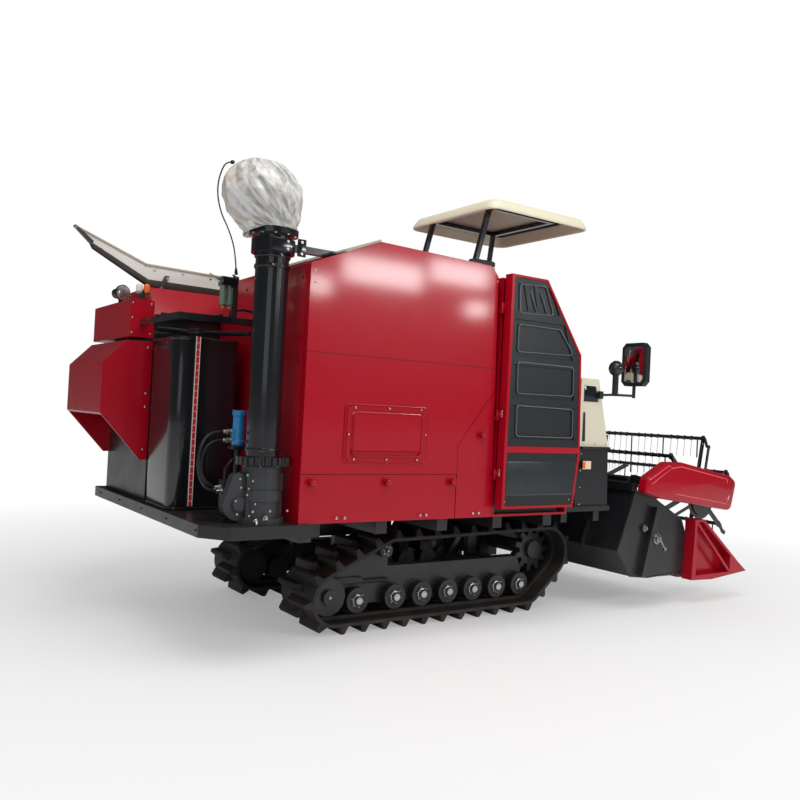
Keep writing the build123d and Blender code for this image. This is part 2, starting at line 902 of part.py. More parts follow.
with BuildPart() as auger_gearbox:
    mast(auger_x, auger_y, 140, deck_z, deck_z + 30, 20)
    mast(auger_x, auger_y, 112, deck_z + 30, ring_z - running_gap, 20)
    mast(auger_x, auger_y, 122, deck_z + 125, deck_z + 185, 20)
    mast(auger_x, auger_y, 85, ring_z - running_gap - 1, ring_z - seat_gap, 12)
    for k in range(6):
        angle = radians(60 * k + 30)
        bar(
            (auger_x + 100 * cos(angle), auger_y + 100 * sin(angle), deck_z + 28),
            (auger_x + 100 * cos(angle), auger_y + 100 * sin(angle), ring_z - running_gap - 40),
            16,
            44,
        )
    slab(drop(case_low, 95, case_top, 45), auger_y - 30, auger_y + 30)
    drum(case_low[0], deck_z + case_low[1], 42, auger_y - 44, auger_y - 29, 10)
save(auger_gearbox, "auger_gearbox")

clamp_zs = (ring_z + 75, auger_top - 190)
with BuildPart() as auger_tube:
    plate([(auger_x + x, auger_y + y) for x, y in star(ring_teeth, ring_radius - 11, ring_radius)], ring_z, ring_z + 45)
    mast(auger_x, auger_y, auger_radius, ring_z, auger_top, 24)
    mast(auger_x, auger_y, auger_radius, stay_z - 70, stay_z + 50)
    for z in clamp_zs:
        mast(auger_x, auger_y, auger_radius + 6, z, z + 22, 20)
    mast(auger_x, auger_y, flange_radius, auger_top, auger_top + 30, 20)
save(auger_tube, "auger_tube")

# columns: height over the flange, shift to the rear, radius
bag_rings = [
    (0, 0, 118),
    (75, 15, 160),
    (150, 60, 208),
    (245, 80, 226),
    (330, 78, 196),
    (395, 70, 128),
    (415, 66, 60),
]
bag_foot = auger_top + 30
bag_sides = 12
with BuildPart() as mouth_bag:
    upright_rings([(auger_x - back, auger_y, bag_foot + height, radius) for height, back, radius in bag_rings], bag_sides)
    # the clip that the cable leaves
    rod(
        (auger_x - 217, auger_y + 22.5, bag_foot + 352.5),
        (auger_x - 262, auger_y + 30, bag_foot + 345),
        cable_radius + 3,
        8,
    )
save(mouth_bag, "mouth_bag")

stay_sides = 16
stay_hole = outside(auger_radius + running_gap, stay_sides)
with BuildPart() as auger_stay:
    mast(auger_x, auger_y, stay_hole + 22, stay_z - 50, stay_z + 30, stay_sides)
    bar((auger_x, auger_y, stay_z + 5), (tank_rear + 202, auger_y, stay_z + 5), 40, 40)
    block((tank_rear + 182, tank_rear + 242), (auger_y - 20, auger_y + 20), (tank_rear_top, stay_z + 25))
    mast(auger_x, auger_y, stay_hole, stay_z - 60, stay_z + 40, stay_sides, Mode.SUBTRACT)
    slab(tank_side, auger_y - 100, auger_y + 100, Mode.SUBTRACT)
save(auger_stay, "auger_stay")

motor_x = auger_x - 60
motor_y = auger_y + 210
motor_top = deck_z + 625
port_x = motor_x - 45
ports = (497, 447)  # heights over the deck
valve_rear = port_x - 70
with BuildPart() as swing_motor:
    block((motor_x - 40, motor_x + 40), (motor_y - 40, motor_y + 40), (deck_z, motor_top - 210))
    mast(motor_x, motor_y, 38, motor_top - 210, motor_top, 12)
    for port in ports:
        block((motor_x - 40, port_x + 10), (motor_y - 14, motor_y + 14), (deck_z + port - 16, deck_z + port + 16))
        rod((port_x + 10, motor_y, deck_z + port), (port_x - 15, motor_y, deck_z + port), hose_radius + 3, 8)
    block((valve_rear, valve_rear + 45), (motor_y - 100, motor_y - 25), (deck_z, deck_z + 225))
save(swing_motor, "swing_motor")

# ---------------------------------------------------------------- hoses and cable
# columns: x behind the motor's port, y from the motor, height over the deck
hose_routes = {
    "hose_upper": [
        (-15, 0, 497),
        (-75, 0, 497),
        (-135, -8, 480),
        (-180, -22, 436),
        (-203, -38, 374),
        (-209, -50, 306),
        (-200, -60, 240),
        (-172, -69, 186),
        (-130, -76, 160),
        (-70, -76, 160),
    ],
    "hose_lower": [
        (-15, 0, 447),
        (-70, 0, 447),
        (-122, -6, 432),
        (-160, -14, 396),
        (-178, -22, 346),
        (-181, -30, 292),
        (-172, -37, 242),
        (-145, -43, 203),
        (-107, -47, 180),
        (-70, -47, 180),
    ],
}
# columns: x and y from the auger's axis, height over the bag's foot: from the bag down to the cable's free end
cable_route = [
    (-262, 30, 345),
    (-292, 35, 340),
    (-312, 42, 300),
    (-322, 56, 250),
    (-318, 82, 196),
    (-290, 130, 140),
    (-235, 205, 85),
    (-160, 285, 35),
    (-95, 352, -35),
    (-60, 388, -115),
    (-47, 399, -195),
]


def build_cord(points, radius, name):
    """A hose or cable on a path of straight runs joined by tangent arcs."""
    route = [Vector(*point) for point in points]
    runs = [b - a for a, b in zip(route, route[1:])]
    turns = [radians(a.get_angle(b)) for a, b in zip(runs, runs[1:])]
    radii = [0.45 * min(a.length, b.length) / tan(turn / 2) for a, b, turn in zip(runs, runs[1:], turns)]
    print(name, "radii", [round(value) for value in radii])
    with BuildPart() as cord:
        with BuildLine() as path:
            FilletPolyline(*route, radius=radii)
        with BuildSketch(Plane(origin=route[0], z_dir=runs[0])):
            RegularPolygon(radius, 6)
        sweep(path=path.line)
    save(cord, name)


for name, points in hose_routes.items():
    build_cord([(port_x + x, motor_y + y, deck_z + z) for x, y, z in points], hose_radius, name)
build_cord([(auger_x + x, auger_y + y, bag_foot + z) for x, y, z in cable_route], cable_radius, "cable")

# ---------------------------------------------------------------- operator station
levers = ((140, 40, 150), (220, 20, 120))
with BuildPart() as station_floor:
    block((housing_front, console_front + 23), (station_right, station_left), (deck_z, station_floor_z))
    slab(
        [
            (console_rear, station_floor_z),
            (console_rear, console_split),
            (console_front, console_split),
            (console_front + 18, station_floor_z),
        ],
        station_right + 20,
        station_left,
    )
save(station_floor, "station_floor")

console_right = station_right + 20
lever_x = console_rear + 100
with BuildPart() as console:
    slab(
        [
            (console_rear + 20, console_split),
            (console_rear + 20, console_top),
            (console_front - console_run_back, console_top),
            (console_front, console_split),
        ],
        console_right,
        station_left,
    )
    for ahead, lean, high in levers:
        y = station_left - 400 + ahead
        mast(lever_x, y, 20, console_top, console_top + 15, 8)
        rod((lever_x, y, console_top + 12), (lever_x - lean, y, console_top + high), 11, 8)
    mast(lever_x + 40, console_right + 240, 20, console_top, console_top + 60, 8)
save(console, "console")

seat_y = (-800, -320)
seat_z = engine_cover_z + 110
with BuildPart() as seat_base:
    block((tank_front + 125, housing_front - 120), (seat_y[0] + 10, seat_y[1] - 10), (engine_cover_z, seat_z))
save(seat_base, "seat_base")

with BuildPart() as seat:
    slab(
        [
            (tank_front + 105, seat_z + seat_gap),
            (tank_front + 105, seat_z + 120),
            (tank_front + 555, seat_z + 120),
            (tank_front + 585, seat_z + 90),
            (tank_front + 585, seat_z + seat_gap),
        ],
        *seat_y,
    )
    slab(
        [
            (tank_front + 105, seat_z + 119),
            (tank_front + 185, seat_z + 119),
            (tank_front + 95, seat_z + 600),
            (tank_front + 70, seat_z + 620),
            (tank_front + 30, seat_z + 620),
        ],
        seat_y[0] + 20,
        seat_y[1] - 20,
    )
save(seat, "seat")

roof_corner = 80


def roof_outline(z, inset):
    """The roof's outline at a height, so much smaller each way, with its corners cut."""
    with BuildSketch(Plane(origin=(canopy_x, canopy_y, z))) as outline:
        Rectangle(canopy_long - inset, canopy_wide - inset)
        chamfer(outline.vertices(), roof_corner - inset / 3)
    return outline.sketch


with BuildPart() as canopy_roof:
    loft(Sketch() + [roof_outline(canopy_z, 0), roof_outline(canopy_z + 25, 6)], ruled=True)
    loft(Sketch() + [roof_outline(canopy_z + 25, 6), roof_outline(canopy_z + canopy_high, 90)], ruled=True)
    extrude(roof_outline(canopy_z, 60), amount=canopy_high - 15, taper=30, mode=Mode.SUBTRACT)
save(canopy_roof, "canopy_roof")

ceiling = canopy_z + canopy_high - 15
frame_x = (canopy_x - 365, canopy_x + 235)
frame_y = (canopy_y - 325, canopy_y + 325)
with BuildPart() as canopy_frame:
    for y in frame_y:
        bar((frame_x[0], y, ceiling - tube / 2), (frame_x[1], y, ceiling - tube / 2), tube, tube)
    for x in frame_x:
        bar((x, frame_y[0] - tube / 2, ceiling - tube / 2), (x, frame_y[1] + tube / 2, ceiling - tube / 2), tube, tube)
    for y in frame_y:
        bar((frame_x[0] - 130, y, tank_front_top - 2), (frame_x[0], y, ceiling - 10), tube, tube)
    knee = (frame_x[1] - 60, frame_y[1] + 20, tank_ridge - 145)
    bar((frame_x[1], frame_y[1], ceiling - 10), knee, tube, tube)
    bar((knee[0], knee[1], knee[2] + 10), (canopy_x + 15, frame_y[1] - 60, engine_cover_z), tube, tube)
    slab(tank_side, tank_right, tank_left, Mode.SUBTRACT)
    block((0, 400), (-500, -200), (engine_cover_z - 60, engine_cover_z), Mode.SUBTRACT)
save(canopy_frame, "canopy_frame")

mirror_x = console_front + 198
mirror_y = -1125
mirror_z = console_top + 134
ball_x = console_front + 33
ball_y = console_right - 15
ball_z = console_top + 94
arm_z = console_top - 116
# columns: height from the middle, radius
ball_rings = ((-58, 18), (-38, 44), (0, 58), (38, 44), (58, 18))
with BuildPart() as mirror:
    block((console_rear + 190, console_rear + 230), (-1087, console_right - seat_gap), (arm_z - 28, arm_z + 28))
    rod((console_rear + 210, ball_y, arm_z), (ball_x, ball_y, arm_z + 10), 10, 8)
    mast(ball_x, ball_y, 24, arm_z, ball_z - 10, 8)
    upright_rings([(ball_x, ball_y, ball_z + height, radius) for height, radius in ball_rings], 12)
    rod((ball_x, ball_y, arm_z + 10), (mirror_x - 10, mirror_y, arm_z + 10), 10, 8)
    mast(mirror_x - 10, mirror_y, 13, arm_z - 7, mirror_z - 150, 8)
    with BuildSketch(Plane.YZ.offset(mirror_x - 25)) as rim:
        with Locations((mirror_y, mirror_z)):
            Rectangle(230, 330)
        chamfer(rim.vertices(), 34)
    extrude(rim.sketch, amount=50)
save(mirror, "mirror")

# ---------------------------------------------------------------- header
trough_low = knife_z - 13 + seat_gap + trough_sheet / 2
trough = [
    (header_back + 180, 930),
    (header_back, 470),
    (header_back + 160, 270),
    (header_back + 360, 246),
    (knife_x - 25, trough_low),
]
side_plate = [
    (header_back + 180, 930),
    (header_back, 470),
    (header_back + 155, 262),
    (header_back + 360, 238),
    (knife_x - 20, knife_z),
    (knife_x - 1, knife_z + 321),
    (knife_x - 65, 687),
    (header_back + 340, 900),
]


def trough_back(z):
    """Where the face behind the trough's back sheet stands at a height."""
    top, bend, low = trough[:3]
    (far_x, far_z) = top if z > bend[1] else low
    run, rise = far_x - bend[0], far_z - bend[1]
    behind = (trough_sheet / 2 + seat_gap) * hypot(run, rise) / abs(rise)
    return bend[0] + run * (z - bend[1]) / rise - behind


mouth_ceiling = mouth_top - 14
feeder_inner = (feeder_right + feeder_wall, feeder_left - feeder_wall)
with BuildPart() as feeder_house:
    slab(
        [
            (trough_back(mouth_low), mouth_low),
            (trough_back(470), 470),
            (trough_back(mouth_top), mouth_top),
            (header_back - 80, mouth_top + 105),
            (lift_x + 70, lift_z + 220),
            (lift_x - 40, lift_z + 160),
            (lift_x - 40, lift_z - 170),
            (lift_x + 10, lift_z - 255),
            (header_back - 20, mouth_low),
        ],
        feeder_right,
        feeder_left,
    )
    slab(
        [
            (header_back + 220, mouth_low + feeder_wall),
            (header_back + 220, mouth_ceiling),
            (trough_back(mouth_top) - 10, mouth_ceiling),
            (header_back - 90, mouth_top + 88),
            (lift_x + 60, lift_z + 202),
            (lift_x - 50, lift_z + 150),
            (lift_x - 50, lift_z - 160),
            (lift_x + 18, lift_z - 242),
            (header_back - 14, mouth_low + feeder_wall),
        ],
        *feeder_inner,
        Mode.SUBTRACT,
    )
    drum(lift_eye[0], lift_eye[1], eye_pin, lift_y - 25, feeder_right + 1, 8)
    drum(lift_x, lift_z, shaft_radius, feeder_right - 35, feeder_left + 35)
save(feeder_house, "feeder_house")

arm_right = header_right + sheet + 14
arm_left = header_left - sheet - 14
reel_right = arm_right + arm_thick
reel_left = arm_left - arm_thick
stiffener_ys = (header_right + 330, header_right + 630, header_left - 630, header_left - 330)
with BuildPart() as header_frame:
    with BuildSketch(Plane.XZ.offset(-header_left)) as trough_section:
        with BuildLine() as run:
            Polyline(*trough)
        trace(run.line, line_width=trough_sheet)
    extrude(trough_section.sketch, amount=header_left - header_right)
    for y in (header_right, header_left - sheet):
        slab(side_plate, y, y + sheet)
    for y in stiffener_ys:
        slab(
            [
                (header_back, 470),
                (header_back + 176, 920),
                (header_back + 125, 920),
                (header_back - 32, 520),
                (header_back - 32, 440),
            ],
            y - 5,
            y + 5,
        )
    bar((header_back + 170, header_right, 950), (header_back + 170, header_left, 950), 60, 60)
    block((header_back - 80, header_back + 220), feeder_inner, (mouth_low, mouth_ceiling), Mode.SUBTRACT)
    bar((header_back + 420, header_right - 25, 790), (header_back + 270, header_right - 25, 262), 50, 60)
    drum(cross_x, cross_z, 60, header_right - 26, header_right + 1, 12)
    drum(header_back + 294, 632, 34, header_right - 14, header_right + 1, 10)
    hanger = [
        (reel_pivot_x - 105, reel_pivot_z - 22),
        (reel_pivot_x - 30, reel_pivot_z + 40),
        (reel_pivot_x + 20, reel_pivot_z + 40),
        (reel_pivot_x + 40, reel_pivot_z),
        (reel_pivot_x + 20, reel_pivot_z - 35),
        (reel_pivot_x - 52, reel_pivot_z - 75),
    ]
    for inner, way in ((reel_right, 1), (reel_left, -1)):
        slab(hanger, *sorted((inner + way * running_gap, inner + way * (running_gap + 12))))
        drum(reel_pivot_x, reel_pivot_z, pivot_pin, inner - way * arm_thick, inner + way * 8)
    for y, way in ((header_right + sheet, 1), (header_left - sheet, -1)):
        drum(ram_foot[0], ram_foot[1], ram_pin, y, y + way * 50)
save(header_frame, "header_frame")

plate_front = knife_x - 0.5
heel = knife_x - 19.5
divider_profile = [
    (heel, knife_z - 45),
    (heel, knife_z),
    (plate_front, knife_z + 321),
    (plate_front, 690),
    (knife_x + 0.16 * divider_long, 690),
    (knife_x + 0.82 * divider_long, 312),
    (knife_x + 0.9733 * divider_long, 234),
    (knife_x + 0.33 * divider_long, 195),
]
divider_hollow = [
    (knife_x + 30, 240),
    (knife_x + 30, 670),
    (knife_x + 0.14 * divider_long, 670),
    (knife_x + 0.66 * divider_long, 375),
    (knife_x + 0.66 * divider_long, 240),
]
divider_skin = 10
with BuildPart() as dividers:
    for inner, outer, skin in (
        (header_right + sheet, header_right - 2 * divider_wide, -divider_skin),
        (header_left - sheet, header_left + divider_wide, divider_skin),
    ):
        slab(divider_profile, *sorted((inner, outer)))
        slab(divider_hollow, *sorted((inner + skin, outer + skin)), Mode.SUBTRACT)
        strut_y = outer - skin
        bar((knife_x + 24, strut_y, 676), (knife_x + 0.67 * divider_long, strut_y, 236), 14, 24)
save(dividers, "dividers")

cut_right = header_right + sheet + seat_gap
cut_left = header_left - sheet - seat_gap
fingers = int((cut_left - cut_right) / finger_pitch)
first_finger = (cut_right + cut_left - finger_pitch * (fingers - 1)) / 2
clips = 7
with BuildPart() as cutter_bar:
    block((knife_x - 65, knife_x + 25), (cut_right, cut_left), (knife_z - 35, knife_z - 13))
    for k in range(clips):
        y = cut_right + 150 + k * (cut_left - cut_right - 300) / (clips - 1)
        block((knife_x - 17, knife_x + 11), (y - 20, y + 20), (knife_z - 14, knife_z - 6 - seat_gap))
    for k in range(fingers):
        y = first_finger + finger_pitch * k
        slab(
            [(knife_x + 20, knife_z - 33), (knife_x + 20, knife_z - 14), (knife_x + 125, knife_z - 22)],
            y - 11,
            y + 11,
        )
save(cutter_bar, "cutter_bar")

knife_teeth = []
for k in range(fingers - 1):
    middle = first_finger + finger_pitch * (k + 0.5)
    knife_teeth += [(knife_x + 12, middle - 36), (knife_x + 70, middle), (knife_x + 12, middle + 36)]
with BuildPart() as knife:
    block((knife_x - 18, knife_x + 12), (cut_right + 45, cut_left - 45), (knife_z - 6, knife_z))
    plate(
        [(knife_x - 10, knife_teeth[0][1])] + knife_teeth + [(knife_x - 10, knife_teeth[-1][1])],
        knife_z - 6,
        knife_z - 2,
    )
save(knife, "knife")

flight_thick = 8
auger_right = header_right + sheet + 12
auger_left = header_left - sheet - 12
# columns: where a flight starts, way it runs across the machine, turns
flights = (
    (auger_right + 20, 1, (feeder_right - auger_right - 20) / flight_pitch),
    (auger_left - 20, -1, (auger_left - feeder_left - 20) / flight_pitch),
)
with BuildPart() as cross_auger:
    drum(cross_x, cross_z, cross_tube, auger_right, auger_left, 16)
    drum(cross_x, cross_z, 25, header_right + sheet + seat_gap, header_left - sheet - seat_gap)
    step = 360 / flight_steps
    half_chord = cross_flight * sin(radians(step / 2))
    middle = (cross_flight * cos(radians(step / 2)) + cross_tube) / 2 - 6
    lead = flight_pitch / flight_steps
    for start, way, turns in flights:
        for k in range(round(turns * flight_steps)):
            angle = radians(step * k)
            out = Vector(cos(angle), 0, sin(angle))
            along = Vector(-sin(angle) * half_chord * 2, way * lead, cos(angle) * half_chord * 2)
            centre = Vector(cross_x, start + way * lead * (k + 0.5), cross_z) + out * middle
            with BuildSketch(Plane(origin=centre, x_dir=out, z_dir=out.cross(along))) as blade:
                Rectangle(cross_flight * cos(radians(step / 2)) - cross_tube + 12, along.length * 1.04)
            extrude(blade.sketch, amount=flight_thick / 2, both=True)
    for angle in (20, 110, 200, 290):
        y = (feeder_right + feeder_left) / 2 + (angle - 155) * 1.4
        tip = cross_flight - 20
        start = (cross_x + 90 * cos(radians(angle)), y, cross_z + 90 * sin(radians(angle)))
        end = (cross_x + tip * cos(radians(angle)), y, cross_z + tip * sin(radians(angle)))
        rod(start, end, 8, 6)
save(cross_auger, "cross_auger")


# ---------------------------------------------------------------- cylinders
def cylinder_half(start, end, y, low, high, radius, eye, eye_radius, hole, wide):
    """A barrel or a rod on the line between two pins, with its eye round one of them."""
    a = between(start, end, low)
    b = between(start, end, high)
    rod((a[0], y, a[1]), (b[0], y, b[1]), radius, 8)
    drum(eye[0], eye[1], eye_radius, y - wide / 2, y + wide / 2, 12)
    drum(eye[0], eye[1], outside(hole, 12), y - radius - 1, y + radius + 1, 12, Mode.SUBTRACT)


def barrel_bore(start, end, y, low, high, radius):
    """The bore that a rod slides in, from inside a barrel out through its mouth."""
    a = between(start, end, low)
    b = between(start, end, high)
    rod((a[0], y, a[1]), (b[0], y, b[1]), radius, 8, Mode.SUBTRACT)


with BuildPart() as lift_barrel:
    cylinder_half(lift_foot, lift_eye, lift_y, 0.045, 0.62, 27, lift_foot, 31, foot_pin + pin_gap, 34)
    barrel_bore(lift_foot, lift_eye, lift_y, 0.43, 0.63, lift_rod_radius + pin_gap)
save(lift_barrel, "lift_barrel")

with BuildPart() as lift_rod:
    cylinder_half(lift_foot, lift_eye, lift_y, 0.57, 0.96, lift_rod_radius, lift_eye, 32, eye_pin + lift_drift, 30)
save(lift_rod, "lift_rod")

ram_ys = (arm_right + arm_thick / 2, arm_left - arm_thick / 2)
with BuildPart() as reel_rams:
    for y in ram_ys:
        cylinder_half(ram_foot, ram_eye, y, 0.035, 0.6, 17, ram_foot, 20, ram_pin + pin_gap, 34)
        barrel_bore(ram_foot, ram_eye, y, 0.38, 0.61, ram_rod_radius + pin_gap)
save(reel_rams, "reel_rams")

with BuildPart() as reel_ram_rods:
    for y in ram_ys:
        cylinder_half(ram_foot, ram_eye, y, 0.4, 0.97, ram_rod_radius, ram_eye, 17, ram_pin + ram_drift, 20)
save(reel_ram_rods, "reel_ram_rods")

# ---------------------------------------------------------------- reel
ring_y = reel_right + 9
hub = (reel_x + crank_x, reel_z + crank_z)
fork = 8
with BuildPart() as reel_arms:
    for y in (arm_right, arm_left - arm_thick):
        slab(
            [
                (reel_pivot_x - 45, reel_pivot_z - 30),
                (reel_pivot_x - 45, reel_pivot_z + 40),
                (reel_x, reel_z + 35),
                (reel_x + 50, reel_z),
                (reel_x, reel_z - 35),
            ],
            y,
            y + arm_thick,
        )
    for y in (arm_right - 1, arm_left - arm_thick - 1):
        drum(
            reel_pivot_x,
            reel_pivot_z,
            outside(pivot_pin + pin_gap, 12),
            y,
            y + arm_thick + 2,
            12,
            Mode.SUBTRACT,
        )
    drum(reel_pivot_x + 90, reel_pivot_z - 2, 22, reel_right - 1, reel_left + 1, 8)
    for y in (arm_right, arm_left - arm_thick):
        lug_x = (ram_eye[0] - 22, ram_eye[0] + 22)
        block(lug_x, (y, y + arm_thick), (ram_eye[1] - 14, ram_eye[1] + 60))
        block(
            (lug_x[0] - 1, lug_x[1] + 1),
            (y + fork, y + arm_thick - fork),
            (ram_eye[1] - 20, ram_eye[1] + 24),
            Mode.SUBTRACT,
        )
        drum(ram_eye[0], ram_eye[1], ram_pin, y, y + arm_thick, 8)
    drum(reel_x, reel_z, 70, header_right - 8 + seat_gap, arm_right, 12)
    drum(hub[0], hub[1], hub_radius - pin_gap, reel_right - 1, ring_y + spider_thick)
    drum(reel_x, reel_z, 34 + running_gap, reel_right, ring_y + spider_thick + 1, 12, Mode.SUBTRACT)
save(reel_arms, "reel_arms")

cover_out = header_right - 100
with BuildPart() as reel_cover:
    slab(
        [
            (reel_pivot_x - 65, 955),
            (reel_pivot_x - 30, 1035),
            (reel_pivot_x + 190, 1151),
            (reel_pivot_x + 364, 1152),
            (reel_x + 184, 1044),
            (reel_x + 265, 1000),
            (reel_x + 276, 940),
            (reel_x + 206, 753),
            (reel_pivot_x + 112, 870),
            (reel_pivot_x - 55, 915),
        ],
        cover_out,
        header_right - 8,
    )
    slab(
        [
            (reel_pivot_x + 60, 1060),
            (reel_pivot_x + 230, 1130),
            (reel_x + 150, 1030),
            (reel_x + 150, 1000),
        ],
        cover_out - 1,
        cover_out + 6,
        Mode.SUBTRACT,
    )
save(reel_cover, "reel_cover")

crank_y = ring_y + 16
spider_y = crank_y + 17
bat_left = reel_left - 12
spider_ys = [spider_y, (spider_y + bat_left - 30) / 2, bat_left - 30]
vertex_angles = [radians(reel_phase + 360 / bat_count * k) for k in range(bat_count)]
bat_axes = [(reel_x + reel_radius * cos(a), reel_z + reel_radius * sin(a)) for a in vertex_angles]
boss = bat_tube + 12
with BuildPart() as reel_shaft:
    drum(reel_x, reel_z, 34, reel_right + seat_gap, reel_left - seat_gap)
    for y in spider_ys:
        # the middle spider's arms end at the tubes, which run past them
        ends = y != spider_ys[1]
        for x, z in bat_axes:
            reach = 1 if ends else 1 - (bat_tube + running_gap) / reel_radius
            tip = between((reel_x, reel_z), (x, z), reach)
            bar((reel_x, y + spider_thick / 2, reel_z), (tip[0], y + spider_thick / 2, tip[1]), spider_thick, 40)
            if ends:
                drum(x, z, boss, y, y + spider_thick, 8)
        if ends:
            sides = 0 if y == spider_y else 8
            hole = bat_tube + pin_gap if sides == 0 else outside(bat_tube + pin_gap, sides)
            for x, z in bat_axes:
                drum(x, z, hole, y - 1, y + spider_thick + 1, sides, Mode.SUBTRACT)
save(reel_shaft, "reel_shaft")

for number, (x, z) in enumerate(bat_axes, 1):
    with BuildPart() as bat:
        drum(x, z, bat_tube, crank_y + 10, bat_left, 8)
        bar((x, crank_y + 5, z), (x + crank_x, crank_y + 5, z + crank_z), 10, 24)
        drum(x + crank_x, z + crank_z, crank_pin, ring_y, crank_y + 10, 6)
        tines = int((bat_left - spider_y - 120) / tine_pitch)
        for k in range(tines + 1):
            y = spider_y + 60 + k * tine_pitch
            block((x - 4, x + 4), (y - 4, y + 4), (z - tine_length, z))
    save(bat, f"reel_bat_{number}")

with BuildPart() as reel_eccentric:
    drum(hub[0], hub[1], 165, ring_y, ring_y + spider_thick, 24)
    tips = [(hub[0] + reel_radius * cos(a), hub[1] + reel_radius * sin(a)) for a in vertex_angles]
    middle = ring_y + spider_thick / 2
    for x, z in tips:
        bar((hub[0], middle, hub[1]), (x, middle, z), spider_thick, 24)
        drum(x, z, crank_pin + 10, ring_y, ring_y + spider_thick, 8)
    for x, z in tips:
        drum(x, z, outside(crank_pin + pin_gap, 8), ring_y - 1, ring_y + spider_thick + 1, 8, Mode.SUBTRACT)
    drum(hub[0], hub[1], outside(hub_radius, 24), ring_y - 1, ring_y + 11, 24, Mode.SUBTRACT)
save(reel_eccentric, "reel_eccentric")
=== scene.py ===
"""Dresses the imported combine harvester: paint, rubber and plastic, fasteners, hoses, bag, mirror, lamps and stage."""

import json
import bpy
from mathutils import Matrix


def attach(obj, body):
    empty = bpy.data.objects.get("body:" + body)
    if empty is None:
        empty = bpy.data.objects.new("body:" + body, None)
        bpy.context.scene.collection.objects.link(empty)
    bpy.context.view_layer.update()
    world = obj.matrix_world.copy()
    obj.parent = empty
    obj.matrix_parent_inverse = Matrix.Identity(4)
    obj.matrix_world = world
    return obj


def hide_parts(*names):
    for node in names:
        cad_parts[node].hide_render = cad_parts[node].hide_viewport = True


bl_info = {
    "name": "Combine Harvester Dressing",
    "version": (1, 0, 0),
    "blender": (4, 5, 0),
    "location": "3D View > Sidebar > Harvester",
    "description": "Finishes, fittings and stage for a full-feed combine harvester on rubber tracks",
    "category": "Object",
}

from math import cos, exp, pi, radians, sin

import bmesh
import bpy
import numpy as np
from bpy.props import FloatProperty, FloatVectorProperty, PointerProperty
from bpy.types import Operator, Panel, PropertyGroup
from mathutils import Matrix, Vector, noise

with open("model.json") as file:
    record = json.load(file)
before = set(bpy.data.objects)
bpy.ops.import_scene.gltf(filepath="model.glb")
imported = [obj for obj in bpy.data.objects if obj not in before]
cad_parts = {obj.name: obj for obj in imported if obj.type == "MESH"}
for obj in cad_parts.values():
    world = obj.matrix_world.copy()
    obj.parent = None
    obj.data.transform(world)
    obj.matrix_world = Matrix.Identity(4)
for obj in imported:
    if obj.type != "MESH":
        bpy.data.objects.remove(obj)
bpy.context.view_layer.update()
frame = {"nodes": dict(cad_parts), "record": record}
nodes = frame["nodes"]

MM = 0.001
RIGHT, BACK, UP, DOWN = (0, -1, 0), (-1, 0, 0), (0, 0, 1), (0, 0, -1)


# ------------------------------------------------------------------ colours
def linear(red, green, blue):
    """A colour given as eight-bit display values, as Blender stores it."""

    def one(value):
        share = value / 255
        return share / 12.92 if share <= 0.04045 else ((share + 0.055) / 1.055) ** 2.4

    return one(red), one(green), one(blue)


# ------------------------------------------------------------------ nodes
def add_node(tree, kind, values=(), **settings):
    """A node with its settings, and sockets or plain values at its inputs."""
    made = tree.nodes.new(kind)
    for label, value in settings.items():
        setattr(made, label, value)
    for label, value in dict(values).items():
        if isinstance(value, bpy.types.NodeSocket):
            tree.links.new(value, made.inputs[label])
        else:
            made.inputs[label].default_value = value
    return made


def math_node(tree, operation, first, second, clamp=False):
    """Two sockets or numbers put together by a Math node."""
    return add_node(tree, "ShaderNodeMath", {0: first, 1: second}, operation=operation, use_clamp=clamp).outputs[0]


def map_range(tree, value, low, high, to_low=0.0, to_high=1.0):
    """A value taken from one range to another, and kept in it."""
    ends = {"Value": value, "From Min": low, "From Max": high, "To Min": to_low, "To Max": to_high}
    return add_node(tree, "ShaderNodeMapRange", ends).outputs["Result"]


def noise_texture(tree, vector, scale, detail=3.0, roughness=0.5):
    """A noise texture's value at a place."""
    values = {"Vector": vector, "Scale": scale, "Detail": detail, "Roughness": roughness}
    return add_node(tree, "ShaderNodeTexNoise", values).outputs["Fac"]


def object_place(tree):
    """The place in the object's own frame."""
    return add_node(tree, "ShaderNodeTexCoord").outputs["Object"]


def upward(tree, vector):
    """A vector's part along Z."""
    return add_node(tree, "ShaderNodeSeparateXYZ", {0: vector}).outputs["Z"]


def mix_colours(tree, mask, first, second):
    """A mix between two colours or sockets."""
    ends = {6 + k: (*end, 1.0) if isinstance(end, tuple) else end for k, end in enumerate((first, second))}
    return add_node(tree, "ShaderNodeMix", {"Factor": mask, **ends}, data_type="RGBA").outputs[2]


def mix_shaders(tree, mask, first, second):
    """A mix between two shaders."""
    return add_node(tree, "ShaderNodeMixShader", {0: mask, 1: first, 2: second}).outputs[0]


# ------------------------------------------------------------------ shader groups
def new_group(name, inputs, output):
    """A shader group of float inputs with one output: the group, its inputs' sockets and its output's socket."""
    group = bpy.data.node_groups.new(name, "ShaderNodeTree")
    for label, default in inputs.items():
        socket = group.interface.new_socket(label, in_out="INPUT", socket_type="NodeSocketFloat")
        socket.default_value = default
    kind = "NodeSocketVector" if output == "Normal" else "NodeSocketFloat"
    group.interface.new_socket(output, in_out="OUTPUT", socket_type=kind)
    start = add_node(group, "NodeGroupInput").outputs
    end = add_node(group, "NodeGroupOutput").inputs[output]
    return group, start, end


